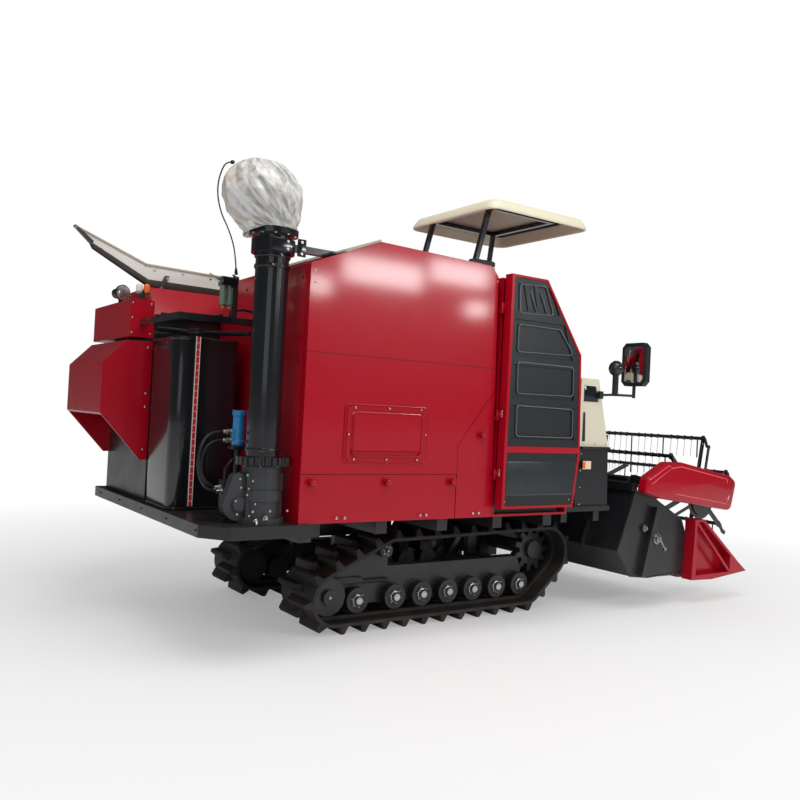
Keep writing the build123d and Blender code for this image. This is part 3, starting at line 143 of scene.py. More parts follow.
def make_dust_group():
    """Dust that lies thicker low down and on faces that look up."""
    group, start, end = new_group("Settled dust", {"Amount": 0.3, "Reach": 0.9, "Scale": 6.0}, "Mask")
    place = object_place(group)
    low = map_range(group, upward(group, place), 0.0, start["Reach"], 1.0, 0.0)
    normal = add_node(group, "ShaderNodeNewGeometry").outputs["Normal"]
    up = map_range(group, upward(group, normal), 0.3, 0.95, 0.0, 0.7)
    patches = map_range(group, noise_texture(group, place, start["Scale"], 7.0, 0.66), 0.25, 0.85)
    mask = math_node(group, "MULTIPLY", math_node(group, "ADD", low, up, True), patches)
    group.links.new(math_node(group, "MULTIPLY", mask, start["Amount"], True), end)
    return group


def make_grain_group():
    """A fine even roughness of the surface, as a height."""
    group, start, end = new_group("Fine grain", {"Scale": 300.0, "Detail": 2.0}, "Height")
    group.links.new(noise_texture(group, object_place(group), start["Scale"], start["Detail"]), end)
    return group


def make_scuff_group():
    """Thin scratches and rubbed spots, as a mask."""
    group, start, end = new_group("Scuffs", {"Scale": 12.0, "Amount": 0.3}, "Mask")
    place = object_place(group)
    stretch = {"Vector": place, "Scale": (0.35, 0.35, 2.2), "Rotation": (0.3, 0.5, 0.2)}
    drawn = add_node(group, "ShaderNodeMapping", stretch).outputs[0]
    thin = map_range(group, noise_texture(group, drawn, start["Scale"], 8.0, 0.7), 0.62, 0.70)
    patches = map_range(group, noise_texture(group, place, 3.0, 2.0), 0.45, 0.65)
    mask = math_node(group, "MULTIPLY", thin, patches)
    group.links.new(math_node(group, "MULTIPLY", mask, start["Amount"], True), end)
    return group


def make_rim_group():
    """A normal that rounds the edges of folded sheet and castings."""
    group, start, end = new_group("Rounded edge", {"Radius": 0.003}, "Normal")
    group.links.new(add_node(group, "ShaderNodeBevel", {"Radius": start["Radius"]}, samples=4).outputs["Normal"], end)
    return group


group_makers = {
    "Settled dust": make_dust_group,
    "Fine grain": make_grain_group,
    "Scuffs": make_scuff_group,
    "Rounded edge": make_rim_group,
}
groups = {}


def use_group(tree, name, **values):
    """The output of a shared group, placed in a material with its own values."""
    if name not in groups:
        groups[name] = group_makers[name]()
    return add_node(tree, "ShaderNodeGroup", values, node_tree=groups[name]).outputs[0]


# ------------------------------------------------------------------ materials
dust_colour = linear(150, 141, 126)
materials = {}


def base_material(name, **values):
    """A material with plain values at its Principled shader's sockets, named with _ for a space."""
    made = bpy.data.materials.new(name)
    made.use_nodes = True
    shader = made.node_tree.nodes["Principled BSDF"]
    for label, value in values.items():
        shader.inputs[label.replace("_", " ")].default_value = value
    materials[name] = made
    return made.node_tree, shader.inputs


def surface(
    name,
    colour,
    roughness,
    metallic=0.0,
    coat=0.0,
    coat_roughness=0.05,
    dust=0.0,
    dust_reach=0.9,
    scuffs=0.0,
    grain=0.0,
    grain_scale=300.0,
    mottle=0.04,
    rim=0.003,
    specular=0.5,
):
    """A finish made of one colour with mottle, dust, scuffs, grain and rounded edges."""
    tree, sockets = base_material(name, Metallic=metallic, Coat_Weight=coat, Coat_Roughness=coat_roughness,
                                  Specular_IOR_Level=specular)
    place = object_place(tree)
    dark = tuple(value * (1 - 3 * mottle) for value in colour)
    light = tuple(min(1.0, value * (1 + 3 * mottle)) for value in colour)
    paint = mix_colours(tree, map_range(tree, noise_texture(tree, place, 2.5, 4.0), 0.1, 0.9), dark, light)
    rough = map_range(tree, noise_texture(tree, place, 9.0, 5.0), 0.1, 0.9, roughness * 0.8, roughness * 1.2)
    layers = []
    if scuffs:
        rubbed = tuple(value * 0.6 + 0.08 for value in colour)
        layers.append((use_group(tree, "Scuffs", Scale=12.0, Amount=scuffs), rubbed, 0.25))
    if dust:
        layers.append((use_group(tree, "Settled dust", Amount=dust, Reach=dust_reach), dust_colour, 0.5))
    for mask, over, duller in layers:
        paint = mix_colours(tree, mask, paint, over)
        rough = math_node(tree, "ADD", rough, math_node(tree, "MULTIPLY", mask, duller), True)
    tree.links.new(paint, sockets["Base Color"])
    tree.links.new(rough, sockets["Roughness"])
    normal = use_group(tree, "Rounded edge", Radius=rim) if rim else None
    if grain:
        bump = {"Strength": grain, "Distance": 0.001, "Height": use_group(tree, "Fine grain", Scale=grain_scale)}
        if normal:
            bump["Normal"] = normal
        normal = add_node(tree, "ShaderNodeBump", bump).outputs["Normal"]
    if normal:
        tree.links.new(normal, sockets["Normal"])


def dusty(name, amount, reach, roughness, **values):
    """A smooth material that is only rough where dust lies: its tree, its sockets and the dust's mask."""
    tree, sockets = base_material(name, **values)
    mask = use_group(tree, "Settled dust", Amount=amount, Reach=reach)
    rough = math_node(tree, "ADD", math_node(tree, "MULTIPLY", mask, 0.3), roughness)
    tree.links.new(rough, sockets["Roughness"])
    return tree, sockets, mask


def glass(name, colour, roughness=0.03, transmission=0.9):
    """Clear or tinted glass, with fine dust on it."""
    tree, sockets, mask = dusty(name, 0.25, 1.0, roughness, Transmission_Weight=transmission)
    tree.links.new(mix_colours(tree, mask, colour, dust_colour), sockets["Base Color"])


def film(name, colour):
    """Thin crumpled packing film, milky where it folds, with painted shade turning it grey in the low parts of the
    folds.
    """
    tree, sockets = base_material(name, Roughness=0.28, Subsurface_Weight=0.15)
    along = add_node(tree, "ShaderNodeAttribute", attribute_name="fold_place").outputs["Vector"]
    folds = noise_texture(tree, along, 1.0, 4.0, 0.5)
    stains = map_range(tree, noise_texture(tree, object_place(tree), 5.0, 4.0, 0.6), 0.50, 0.68, 0.0, 0.85)
    warm = mix_colours(tree, stains, colour, linear(196, 176, 132))
    # painted shade: the film turns grey in the low parts of its folds
    grey = map_range(tree, folds, 0.36, 0.54, 0.42, 0.0)
    tree.links.new(mix_colours(tree, grey, warm, linear(132, 132, 134)), sockets["Base Color"])
    tree.links.new(map_range(tree, folds, 0.36, 0.58, 0.5, 0.94), sockets["Alpha"])
    bump = add_node(tree, "ShaderNodeBump", {"Strength": 0.4, "Distance": 0.012, "Height": folds})
    tree.links.new(bump.outputs["Normal"], sockets["Normal"])


def make_materials(finish):
    """Every finish of the machine."""
    red, black = tuple(finish.red), tuple(finish.black)
    surface("red_paint", red, 0.36, coat=0.5, coat_roughness=0.10, dust=0.01, scuffs=0.02, grain=0.12,
            grain_scale=240.0, mottle=0.015, specular=0.15)
    # painted highlight: a light, glossy red that the reel cover's ridges carry in place of the light along them
    surface("red_edge", linear(214, 70, 84), 0.25, coat=0.8, rim=0.0)
    surface("dark_paint", black, 0.2, coat=0.5, coat_roughness=0.06, dust=0.10, scuffs=0.08, grain=0.05,
            grain_scale=160.0, mottle=0.05)
    surface("frame_paint", black, 0.36, coat=0.15, coat_roughness=0.15, dust=0.16, dust_reach=0.8, scuffs=0.15,
            grain=0.10, grain_scale=200.0)
    surface("grey_paint", tuple(finish.grey), 0.45, metallic=0.3, dust=0.15, scuffs=0.2, grain=0.35,
            grain_scale=260.0)
    surface("cream_paint", tuple(finish.cream), 0.35, coat=0.3, dust=0.06, grain=0.05, grain_scale=120.0, mottle=0.015)
    surface("blue_paint", linear(30, 122, 178), 0.3, coat=0.3, dust=0.1, grain=0.2, grain_scale=180.0)
    surface("tine_wire", linear(120, 122, 122), 0.35, metallic=0.8, mottle=0.03, rim=0.0)
    surface("bare_steel", linear(158, 158, 156), 0.34, metallic=1.0, dust=0.1, scuffs=0.3, grain=0.1, mottle=0.06)
    surface("zinc", linear(196, 196, 190), 0.28, metallic=1.0, scuffs=0.2, mottle=0.06, rim=0.001)
    surface("brass", linear(196, 160, 84), 0.3, metallic=1.0, scuffs=0.2, mottle=0.06, rim=0.001)
    surface("bright_rod", linear(205, 207, 210), 0.12, metallic=1.0, mottle=0.02)
    surface("hub_steel", linear(206, 207, 208), 0.28, metallic=0.45, dust=0.1, scuffs=0.25, grain=0.15, mottle=0.08)
    surface("track_rubber", tuple(finish.rubber), 0.58, dust=0.22, dust_reach=0.5, grain=0.35, grain_scale=240.0,
            mottle=0.05, rim=0.005)
    surface("hose_rubber", linear(22, 22, 23), 0.42, coat=0.1, dust=0.06, grain=0.25, grain_scale=500.0, rim=0.0)
    surface("black_plastic", linear(23, 26, 29), 0.42, dust=0.06, grain=0.45, grain_scale=420.0, mottle=0.04)
    # painted highlight: a lighter, glossier grey for the beads round the door's pressings, standing in for the light
    # along their edges
    surface("door_rib", linear(84, 92, 98), 0.22, coat=0.8, grain=0.1, mottle=0.03)
    surface("door_plastic", linear(44, 50, 55), 0.3, coat=0.2, dust=0.05, grain=0.45, grain_scale=420.0, mottle=0.04)
    surface("white_plastic", tuple(finish.canopy), 0.42, dust=0.05, grain=0.15, grain_scale=260.0, mottle=0.015)
    surface("liner_plastic", linear(176, 164, 142), 0.6, dust=0.05, grain=0.2, grain_scale=260.0, mottle=0.02)
    surface("amber_plastic", linear(226, 104, 24), 0.2, coat=0.5, grain=0.1, grain_scale=300.0)
    surface("seat_vinyl", linear(24, 24, 26), 0.46, coat=0.1, grain=0.55, grain_scale=420.0, mottle=0.05, rim=0.0)
    surface("seam_shadow", linear(70, 8, 16), 0.6, mottle=0.05, rim=0.0)
    surface("guard_face", linear(214, 212, 205), 0.4, coat=0.2, dust=0.08, scuffs=0.12, grain=0.1, mottle=0.02)
    surface("guard_edge", linear(168, 156, 138), 0.55, dust=0.08, grain=0.2, mottle=0.04)
    surface("guard_lip", linear(56, 46, 42), 0.5, dust=0.1, grain=0.2, mottle=0.04)
    surface("blank_plate", linear(232, 204, 170), 0.4, mottle=0.02, rim=0.0)
    surface("scale_white", linear(226, 222, 214), 0.45, mottle=0.02, rim=0.0)
    surface("scale_red", linear(196, 30, 44), 0.4, mottle=0.02, rim=0.0)
    surface("lamp_reflector", linear(214, 214, 210), 0.15, metallic=0.9, mottle=0.04, rim=0.0)
    surface("filter_core", linear(18, 96, 52), 0.4, grain=0.3, grain_scale=300.0)
    glass("clear_glass", (0.95, 0.97, 0.97))
    glass("dark_glass", linear(30, 40, 42), 0.06, 0.3)
    dusty("mirror_glass", 0.2, 3.0, 0.02, Base_Color=(*linear(214, 218, 220), 1.0), Metallic=1.0)
    film("bag_film", linear(214, 213, 210))


# the CAD nodes whose finish isn't the record's own slot
finish_of = dict.fromkeys((
    "chassis", "rear_platform", "track_frames", "track_rollers", "header_frame", "feeder_house", "station_floor",
    "threshing_body",
), "frame_paint") | {"top_guard": "guard_face", "door_panel": "black_plastic"}


# ------------------------------------------------------------------ settings
class FinishSettings(PropertyGroup):
    """Colours of the machine's finishes."""

    red: FloatVectorProperty(
        name="Red Paint", description="Body panels", subtype="COLOR", default=linear(164, 3, 28), min=0, max=1
    )
    black: FloatVectorProperty(
        name="Black Paint", description="Frames and tubes", subtype="COLOR", default=linear(22, 24, 28), min=0, max=1
    )
    grey: FloatVectorProperty(
        name="Grey Paint", description="Gear cases and the engine", subtype="COLOR", default=linear(62, 64, 67),
        min=0, max=1,
    )
    cream: FloatVectorProperty(
        name="Cream Paint", description="Console", subtype="COLOR", default=linear(214, 208, 186), min=0, max=1
    )
    canopy: FloatVectorProperty(
        name="Canopy", description="Canopy roof", subtype="COLOR", default=linear(216, 209, 184), min=0, max=1
    )
    rubber: FloatVectorProperty(
        name="Rubber", description="Tracks", subtype="COLOR", default=linear(23, 23, 24), min=0, max=1
    )


class StageSettings(PropertyGroup):
    """Camera, lamps and floor."""

    place: FloatVectorProperty(
        name="Camera Place", description="Where the camera stands", subtype="TRANSLATION", unit="LENGTH",
        default=(-3.876, -5.277, 1.429),
    )
    heading: FloatProperty(
        name="Heading", description="Way the camera looks, from +X to +Y", subtype="ANGLE", default=radians(55.30)
    )
    tilt: FloatProperty(name="Tilt", description="How far it looks up", subtype="ANGLE", default=radians(0.92))
    roll: FloatProperty(name="Roll", description="Turn about its own axis", subtype="ANGLE", default=radians(2.88))
    lens: FloatProperty(name="Focal Length", description="On a 36 mm sensor", unit="CAMERA", default=37.03)
    key_power: FloatProperty(name="Key Lamp", description="Power of the large lamp", unit="POWER", default=170.0)
    fill_power: FloatProperty(name="Fill Lamp", description="Power of the side lamp", unit="POWER", default=25.0)
    box_power: FloatProperty(name="Soft Box", description="Power per square metre of each", unit="POWER", default=108.0)
    sky: FloatProperty(name="Sky", description="Strength of the even light", default=0.6, min=0)
    reflected: FloatProperty(name="Sky in Gloss", description="Strength that reflections show", default=0.06, min=0)


class SizeSettings(PropertyGroup):
    """Sizes of the hoses and the cable."""

    hose: FloatProperty(name="Hose Diameter", description="Across each hydraulic hose", unit="LENGTH", default=0.018)
    cable: FloatProperty(name="Cable Diameter", description="Across the lamp cable", unit="LENGTH", default=0.008)


# ------------------------------------------------------------------ mesh helpers
def put(name, data):
    """A new object in the scene."""
    made = bpy.data.objects.new(name, data)
    bpy.context.scene.collection.objects.link(made)
    return made


def skin(rows, around):
    """Faces between rows of points that each go round."""
    return [
        (r * around + k, r * around + (k + 1) % around, (r + 1) * around + (k + 1) % around, (r + 1) * around + k)
        for r in range(rows - 1) for k in range(around)
    ]


def lids(rows, around):
    """The two faces that close such a skin."""
    return [tuple(range(around)), tuple(range((rows - 1) * around, rows * around))]


def circle(centre, aside, other, radius, count, first=0.0):
    """Points round a centre, in the plane of two directions."""
    turns = [first + 2 * pi * k / count for k in range(count)]
    return [centre + (aside * cos(turn) + other * sin(turn)) * radius for turn in turns]


def closed(outline):
    """An outline that ends where it began."""
    return [*outline, outline[0]]


def scaled(outline, middle, wide, high):
    """An outline drawn in to its middle, or out from it."""
    return [((a - middle[0]) * wide + middle[0], (b - middle[1]) * high + middle[1]) for a, b in outline]


class Shape:
    """Closed shapes, given in millimetres, gathered into one mesh."""

    least_radius = 0.01
    sharp = 0.6  # radians between faces, over which an edge is softened

    def __init__(self):
        self.mesh = bmesh.new()

    def add(self, points, faces, soften=0.0):
        """Adds one closed shape, its sharp edges rounded by so much."""
        part = bmesh.new()
        corners = [part.verts.new(Vector(point) * MM) for point in points]
        for face in faces:
            part.faces.new([corners[k] for k in face])
        bmesh.ops.remove_doubles(part, verts=part.verts, dist=1e-6)
        bmesh.ops.recalc_face_normals(part, faces=part.faces)
        if soften:
            sharp = [edge for edge in part.edges if edge.calc_face_angle(0.0) > self.sharp]
            bmesh.ops.bevel(part, geom=sharp, offset=soften * MM, segments=2, profile=0.5, affect="EDGES",
                            clamp_overlap=True)
        held = bpy.data.meshes.new("held")
        part.to_mesh(held)
        part.free()
        self.mesh.from_mesh(held)
        bpy.data.meshes.remove(held)
        return self

    def box(self, xs, ys, zs, soften=0.0):
        """A block between two corners."""
        points = [(x, y, z) for x in xs for y in ys for z in zs]
        faces = [(0, 1, 3, 2), (4, 6, 7, 5), (0, 4, 5, 1), (2, 3, 7, 6), (0, 2, 6, 4), (1, 5, 7, 3)]
        return self.add(points, faces, soften)

    def plate(self, outline, across, low, high, soften=0.0):
        """An outline of two coordinates, made as thick as low to high across an axis."""
        at = "xyz".index(across)
        points = [(*pair[:at], c, *pair[at:]) for c in (low, high) for pair in map(tuple, outline)]
        count = len(outline)
        return self.add(points, lids(2, count) + skin(2, count), soften)

    def turned(self, start, end, profile, sides=24):
        """A turned shape: (share of the way from start to end, radius) rows."""
        start, end = Vector(start), Vector(end)
        along = end - start
        aside = along.orthogonal().normalized()
        other = along.cross(aside).normalized()
        points = []
        for share, radius in profile:
            points += circle(start + along * share, aside, other, max(radius, self.least_radius), sides)
        return self.add(points, skin(len(profile), sides) + lids(len(profile), sides))

    def post(self, place, low, high, profile, sides=24):
        """A turned shape that stands upright."""
        return self.turned((*place, low), (*place, high), profile, sides)

    def boss(self, place, start, end, profile, sides=24):
        """A turned shape across the machine, at a place along it and a height."""
        x, z = place
        return self.turned((x, start, z), (x, end, z), profile, sides)

    def bead(self, line, face, radius):
        """A round bead along a line on a face that looks across the machine."""
        return self.pipe([(x, face, z) for x, z in line], radius, 8)

    def pipe(self, route, radius, sides=10):
        """A stiff pipe through points, with its bends at them."""
        route = [Vector(point) for point in route]
        points = []
        aside = (route[1] - route[0]).orthogonal().normalized()
        for k, point in enumerate(route):
            before = (point - route[k - 1]).normalized() if k else (route[1] - point).normalized()
            after = (route[k + 1] - point).normalized() if k < len(route) - 1 else before
            along = (before + after).normalized()
            aside = (aside - along * aside.dot(along)).normalized()
            points += circle(point, aside, along.cross(aside), radius, sides)
        return self.add(points, skin(len(route), sides) + lids(len(route), sides))

    def make(self, name, material, body="root", smooth=35.0):
        """The finished piece, riding on its body."""
        mesh = bpy.data.meshes.new(name)
        self.mesh.to_mesh(mesh)
        self.mesh.free()
        for polygon in mesh.polygons:
            polygon.use_smooth = bool(smooth)
        if smooth:
            mesh.set_sharp_from_angle(angle=radians(smooth))
        mesh.materials.append(materials[material])
        made = put(name, mesh)
        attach(made, body)
        return made


def object_from(name, vertices, faces, material, smooth=False):
    """A new mesh object, its vertices in metres."""
    mesh = bpy.data.meshes.new(name)
    mesh.from_pydata([tuple(v) for v in vertices], [], faces)
    mesh.validate()
    mesh.materials.append(materials[material])
    for polygon in mesh.polygons:
        polygon.use_smooth = smooth
    return put(name, mesh)


# ------------------------------------------------------------------ geometry trees
class GeometryTree:
    """A geometry tree with named inputs, a geometry of loose points and a finish among them."""

    def __init__(self, name, inputs):
        self.tree = bpy.data.node_groups.new(name, "GeometryNodeTree")
        face = self.tree.interface
        face.new_socket("Geometry", in_out="INPUT", socket_type="NodeSocketGeometry")
        for label, default in inputs.items():
            kind = "NodeSocketVector" if isinstance(default, tuple) else "NodeSocketFloat"
            face.new_socket(label, in_out="INPUT", socket_type=kind).default_value = default
        face.new_socket("Finish", in_out="INPUT", socket_type="NodeSocketMaterial")
        face.new_socket("Geometry", in_out="OUTPUT", socket_type="NodeSocketGeometry")
        self.start = self.tree.nodes.new("NodeGroupInput").outputs
        self.end = self.tree.nodes.new("NodeGroupOutput")

    def node(self, kind, values=(), **settings):
        """A node of this tree."""
        return add_node(self.tree, kind, values, **settings)

    def times(self, socket, number):
        """A socket's value times a number."""
        return math_node(self.tree, "MULTIPLY", socket, number)

    def vector(self, **parts):
        """A vector from its parts."""
        return self.node("ShaderNodeCombineXYZ", parts).outputs[0]

    def moved(self, shape, **values):
        """A shape moved, turned or scaled."""
        return self.node("GeometryNodeTransform", {"Geometry": shape, **values}).outputs[0]

    def named(self, name, kind):
        """A value that each point carries."""
        return self.node("GeometryNodeInputNamedAttribute", {"Name": name}, data_type=kind).outputs[0]

    def join(self, *sockets):
        """Several geometries as one."""
        made = self.tree.nodes.new("GeometryNodeJoinGeometry")
        for socket in sockets:
            self.tree.links.new(socket, made.inputs[0])
        return made.outputs[0]

    def finish(self, shape, aimed=False, sized=False, **pivot):
        """Closes the tree with the shape on every point, turned to its aim and scaled to its size if it has them."""
        values = {"Points": self.start["Geometry"], "Instance": shape}
        if aimed:
            aim = {"Vector": self.named("aim", "FLOAT_VECTOR")}
            values["Rotation"] = self.node("FunctionNodeAlignRotationToVector", aim, axis="Z", **pivot).outputs[0]
        if sized:
            values["Scale"] = self.named("size", "FLOAT")
        placed = self.node("GeometryNodeInstanceOnPoints", values).outputs[0]
        real = self.node("GeometryNodeRealizeInstances", {"Geometry": placed}).outputs[0]
        dressed = self.node("GeometryNodeSetMaterial", {"Geometry": real, "Material": self.start["Finish"]})
        self.tree.links.new(dressed.outputs[0], self.end.inputs[0])
        return self.tree


trees = {}


def grow(name, maker, points, attributes, values, material, body, smooth=35.0):
    """Runs a maker's tree on loose points, in metres, and keeps its result as a plain mesh on a body."""
    if maker not in trees:
        trees[maker] = maker()
    tree = trees[maker]
    seed = bpy.data.meshes.new(name + "_points")
    seed.from_pydata([tuple(point) for point in points], [], [])
    for label, (kind, rows) in attributes.items():
        layer = seed.attributes.new(label, kind, "POINT")
        flat = [n for row in rows for n in row] if kind == "FLOAT_VECTOR" else list(rows)
        layer.data.foreach_set("vector" if kind == "FLOAT_VECTOR" else "value", flat)
    holder = put(name + "_points", seed)
    modifier = holder.modifiers.new("tree", "NODES")
    modifier.node_group = tree
    sockets = {item.name: item.identifier for item in tree.interface.items_tree if item.in_out == "INPUT"}
    for label, value in {**values, "Finish": materials[material]}.items():
        modifier[sockets[label]] = value
    graph = bpy.context.evaluated_depsgraph_get()
    mesh = bpy.data.meshes.new_from_object(holder.evaluated_get(graph), depsgraph=graph)
    bpy.data.objects.remove(holder)
    bpy.data.meshes.remove(seed)
    mesh.name = name
    for label in [item.name for item in mesh.attributes if item.name in attributes]:
        mesh.attributes.remove(mesh.attributes[label])
    for polygon in mesh.polygons:
        polygon.use_smooth = True
    mesh.set_sharp_from_angle(angle=radians(smooth))
    made = put(name, mesh)
    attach(made, body)
    return made


def bolt_tree():
    """Hexagon heads with washers, on points that carry a direction and a size."""
    tree = GeometryTree("Hexagon bolts", {
        "Head Radius": 0.008, "Head Height": 0.006, "Washer Radius": 0.012, "Washer Height": 0.0018})
    head, washer = (
        tree.node("GeometryNodeMeshCylinder", {
            "Vertices": sides, "Radius": tree.start[f"{part} Radius"], "Depth": tree.start[f"{part} Height"],
        }).outputs["Mesh"]
        for part, sides in (("Head", 6), ("Washer", 14))
    )
    raised = tree.moved(head, Translation=tree.vector(Z=tree.times(tree.start["Head Height"], 0.5)))
    return tree.finish(tree.join(raised, washer), aimed=True, sized=True)


def rivet_tree():
    """Low round heads on points that carry a direction and a size."""
    tree = GeometryTree("Round heads", {"Radius": 0.006, "Rise": 0.5})
    ball = tree.node("GeometryNodeMeshUVSphere", {"Segments": 12, "Rings": 8, "Radius": tree.start["Radius"]})
    low = tree.moved(ball.outputs["Mesh"], Scale=tree.vector(X=1.0, Y=1.0, Z=tree.start["Rise"]))
    return tree.finish(low, aimed=True, sized=True)


def tine_tree():
    """Spring tines hanging from points on a tube: a wire with its coil round the tube."""
    tree = GeometryTree("Spring tines", {"Length": 0.16, "Wire": 0.0028, "Coil": 0.019})
    reach = tree.start["Coil"]
    foot = tree.vector(X=0.006, Z=tree.times(tree.start["Length"], -1.0))
    wire = tree.node("GeometryNodeCurvePrimitiveLine", {"Start": tree.vector(X=reach), "End": foot})
    coil = tree.node("GeometryNodeCurveSpiral", {
        "Resolution": 12, "Rotations": 2.0, "Start Radius": reach, "End Radius": reach, "Height": 0.016})
    laid = tree.moved(coil.outputs[0], Rotation=(radians(90), 0, 0))
    section = tree.node("GeometryNodeCurvePrimitiveCircle", {"Resolution": 5, "Radius": tree.start["Wire"]})
    return tree.finish(tree.node("GeometryNodeCurveToMesh", {
        "Curve": tree.join(wire.outputs[0], laid), "Profile Curve": section.outputs[0], "Fill Caps": True,
    }).outputs[0])


def slat_tree():
    """Like bars at points."""
    tree = GeometryTree("Slats", {"Size": (0.02, 0.02, 0.2)})
    return tree.finish(tree.node("GeometryNodeMeshCube", {"Size": tree.start["Size"]}).outputs["Mesh"])


def lug_tree():
    """Rubber lugs with sloping flanks, on points that carry their way out of the belt."""
    tree = GeometryTree("Track lugs", {"Reach": 0.267, "Root": 0.062, "Height": 0.05})
    size = tree.vector(X=tree.start["Root"], Y=tree.start["Reach"], Z=tree.start["Height"])
    bar = tree.node("GeometryNodeMeshCube", {"Size": size}).outputs["Mesh"]
    place = tree.node("GeometryNodeInputPosition").outputs[0]
    top = math_node(tree.tree, "GREATER_THAN", upward(tree.tree, place), 0.0)
    draw_in = tree.node("ShaderNodeVectorMath", {0: place, 1: (-0.62, -0.12, 0.0)}, operation="MULTIPLY").outputs[0]
    tapered = tree.node("GeometryNodeSetPosition", {"Geometry": bar, "Selection": top, "Offset": draw_in}).outputs[0]
    raised = tree.moved(tapered, Translation=tree.vector(Z=tree.times(tree.start["Height"], 0.5)))
    return tree.finish(raised, aimed=True, pivot_axis="Y")


def spot(place, aim, size=1.0):
    """One fastener, in millimetres."""
    return [(Vector(place), Vector(aim), size)]


def row(start, end, count, aim, size=1.0):
    """Evenly spaced fasteners from one point to another, in millimetres."""
    start, end = Vector(start), Vector(end)
    return [(start.lerp(end, k / (count - 1)), Vector(aim), size) for k in range(count)]


def ring(centre, axis, radius, count, size=1.0, first=0.0):
    """Fasteners in a circle that look along an axis."""
    axis = Vector(axis).normalized()
    aside = axis.orthogonal().normalized()
    return [(place, axis, size) for place in circle(Vector(centre), aside, axis.cross(aside), radius, count, first)]


def fasten(name, places, maker, material, body="root", **values):
    """One mesh of fasteners for a body."""
    points = [place * MM for place, aim, size in places]
    attributes = {
        "aim": ("FLOAT_VECTOR", [tuple(aim) for place, aim, size in places]),
        "size": ("FLOAT", [size for place, aim, size in places]),
    }
    labels = {label.replace("_", " "): value for label, value in values.items()}
    return grow(name, maker, points, attributes, labels, material, body)


def rounded(outline, radius, steps=6):
    """An outline with its corners rounded by arcs."""
    most_of_side, least_slope = 0.45, 0.05
    corners = [Vector((*corner, 0)) for corner in outline]
    points = []
    for k, corner in enumerate(corners):
        sides = [corners[k - 1] - corner, corners[(k + 1) % len(corners)] - corner]
        half = sides[0].normalized().angle(sides[1].normalized()) / 2
        reach = min(radius / max(sin(half) / cos(half), least_slope), *(most_of_side * side.length for side in sides))
        start, end = (corner + side.normalized() * reach for side in sides)
        for n in range(steps + 1):
            s = n / steps
            point = start * (1 - s) ** 2 + corner * 2 * s * (1 - s) + end * s * s
            points.append((point.x, point.y))
    return points


# ------------------------------------------------------------------ operators
class HARVESTER_OT_finishes(Operator):
    """Give every carried-over piece its finish"""

    bl_idname = "harvester.finishes"
    bl_label = "Finishes"

    def execute(self, context):
        make_materials(context.scene.harvester_finish)
        slots = {row["node"]: row["material_slot"] for row in frame["record"]["subparts"]}
        for name, made in nodes.items():
            wanted = finish_of.get(name, slots[name])
            made.data.materials.clear()
            made.data.materials.append(materials[wanted])
        return {"FINISHED"}


# routes in metres: hoses from the port block to the valve block, the cable from the bag's clip to its plug
hose_routes = {
    "hose_upper": (
        (-1.965, -0.790, 1.272), (-2.025, -0.790, 1.272), (-2.085, -0.798, 1.255), (-2.130, -0.812, 1.211),
        (-2.153, -0.828, 1.149), (-2.159, -0.840, 1.081), (-2.150, -0.850, 1.015), (-2.122, -0.859, 0.961),
        (-2.080, -0.866, 0.935), (-2.020, -0.866, 0.935),
    ),
    "hose_lower": (
        (-1.965, -0.790, 1.222), (-2.020, -0.790, 1.222), (-2.072, -0.796, 1.207), (-2.110, -0.804, 1.171),
        (-2.128, -0.812, 1.121), (-2.131, -0.820, 1.067), (-2.122, -0.827, 1.017), (-2.095, -0.833, 0.978),
        (-2.057, -0.837, 0.955), (-2.020, -0.837, 0.955),
    ),
}
cable_route = (
    (-2.107, -0.970, 2.775), (-2.137, -0.965, 2.770), (-2.157, -0.958, 2.730), (-2.167, -0.944, 2.680),
    (-2.163, -0.918, 2.626), (-2.135, -0.870, 2.570), (-2.080, -0.795, 2.515), (-2.005, -0.715, 2.465),
    (-1.940, -0.648, 2.395), (-1.905, -0.612, 2.315), (-1.892, -0.601, 2.235),
)


def cord_curve(name, route, diameter, body, node):
    """A smooth cord with the route's points as its control points."""
    data = bpy.data.curves.new(name, "CURVE")
    data.dimensions = "3D"
    data.bevel_depth = diameter / 2
    data.bevel_resolution = 4
    data.resolution_u = 10
    data.use_fill_caps = True
    line = data.splines.new("NURBS")
    line.points.add(len(route) - 1)
    for point, place in zip(line.points, route):
        point.co = (*place, 1.0)
    line.order_u = 3
    line.use_endpoint_u = True
    data.materials.append(materials["hose_rubber"])
    made = put(name, data)
    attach(made, body)
    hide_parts(node)
    return made


class HARVESTER_OT_cords(Operator):
    """Lay the two hydraulic hoses and the cable, with their fittings and plug"""

    bl_idname = "harvester.cords"
    bl_label = "Hoses and Cable"

    def execute(self, context):
        sizes = context.scene.harvester_sizes
        for name, route in hose_routes.items():
            hose = cord_curve(name + "_line", route, sizes.hose, "root", name)
            ends = Shape()
            for near, next_one in ((route[0], route[1]), (route[-1], route[-2])):
                start = Vector(near) / MM
                way = (Vector(next_one) / MM - start).normalized()
                ends.turned(start, start + way * 34, [(0, 11.5), (0.85, 11.5), (1, 10)], 20)
                ends.turned(start - way * 2, start + way * 12, [(0, 16), (1, 16)], 6)
            fittings = ends.make(name + "_fittings", "zinc")
        cable = cord_curve("cable_line", cable_route, sizes.cable, "auger", "cable")
        foot = Vector(cable_route[-1]) / MM
        way = (foot - Vector(cable_route[-2]) / MM).normalized()
        plug = Shape()
        plug.turned(foot - way * 26, foot + way * 19, [(0, 5), (0.25, 7), (0.55, 10), (0.95, 10), (1, 9)], 20)
        plug = plug.make("cable_plug", "black_plastic", "auger")
        return {"FINISHED"}


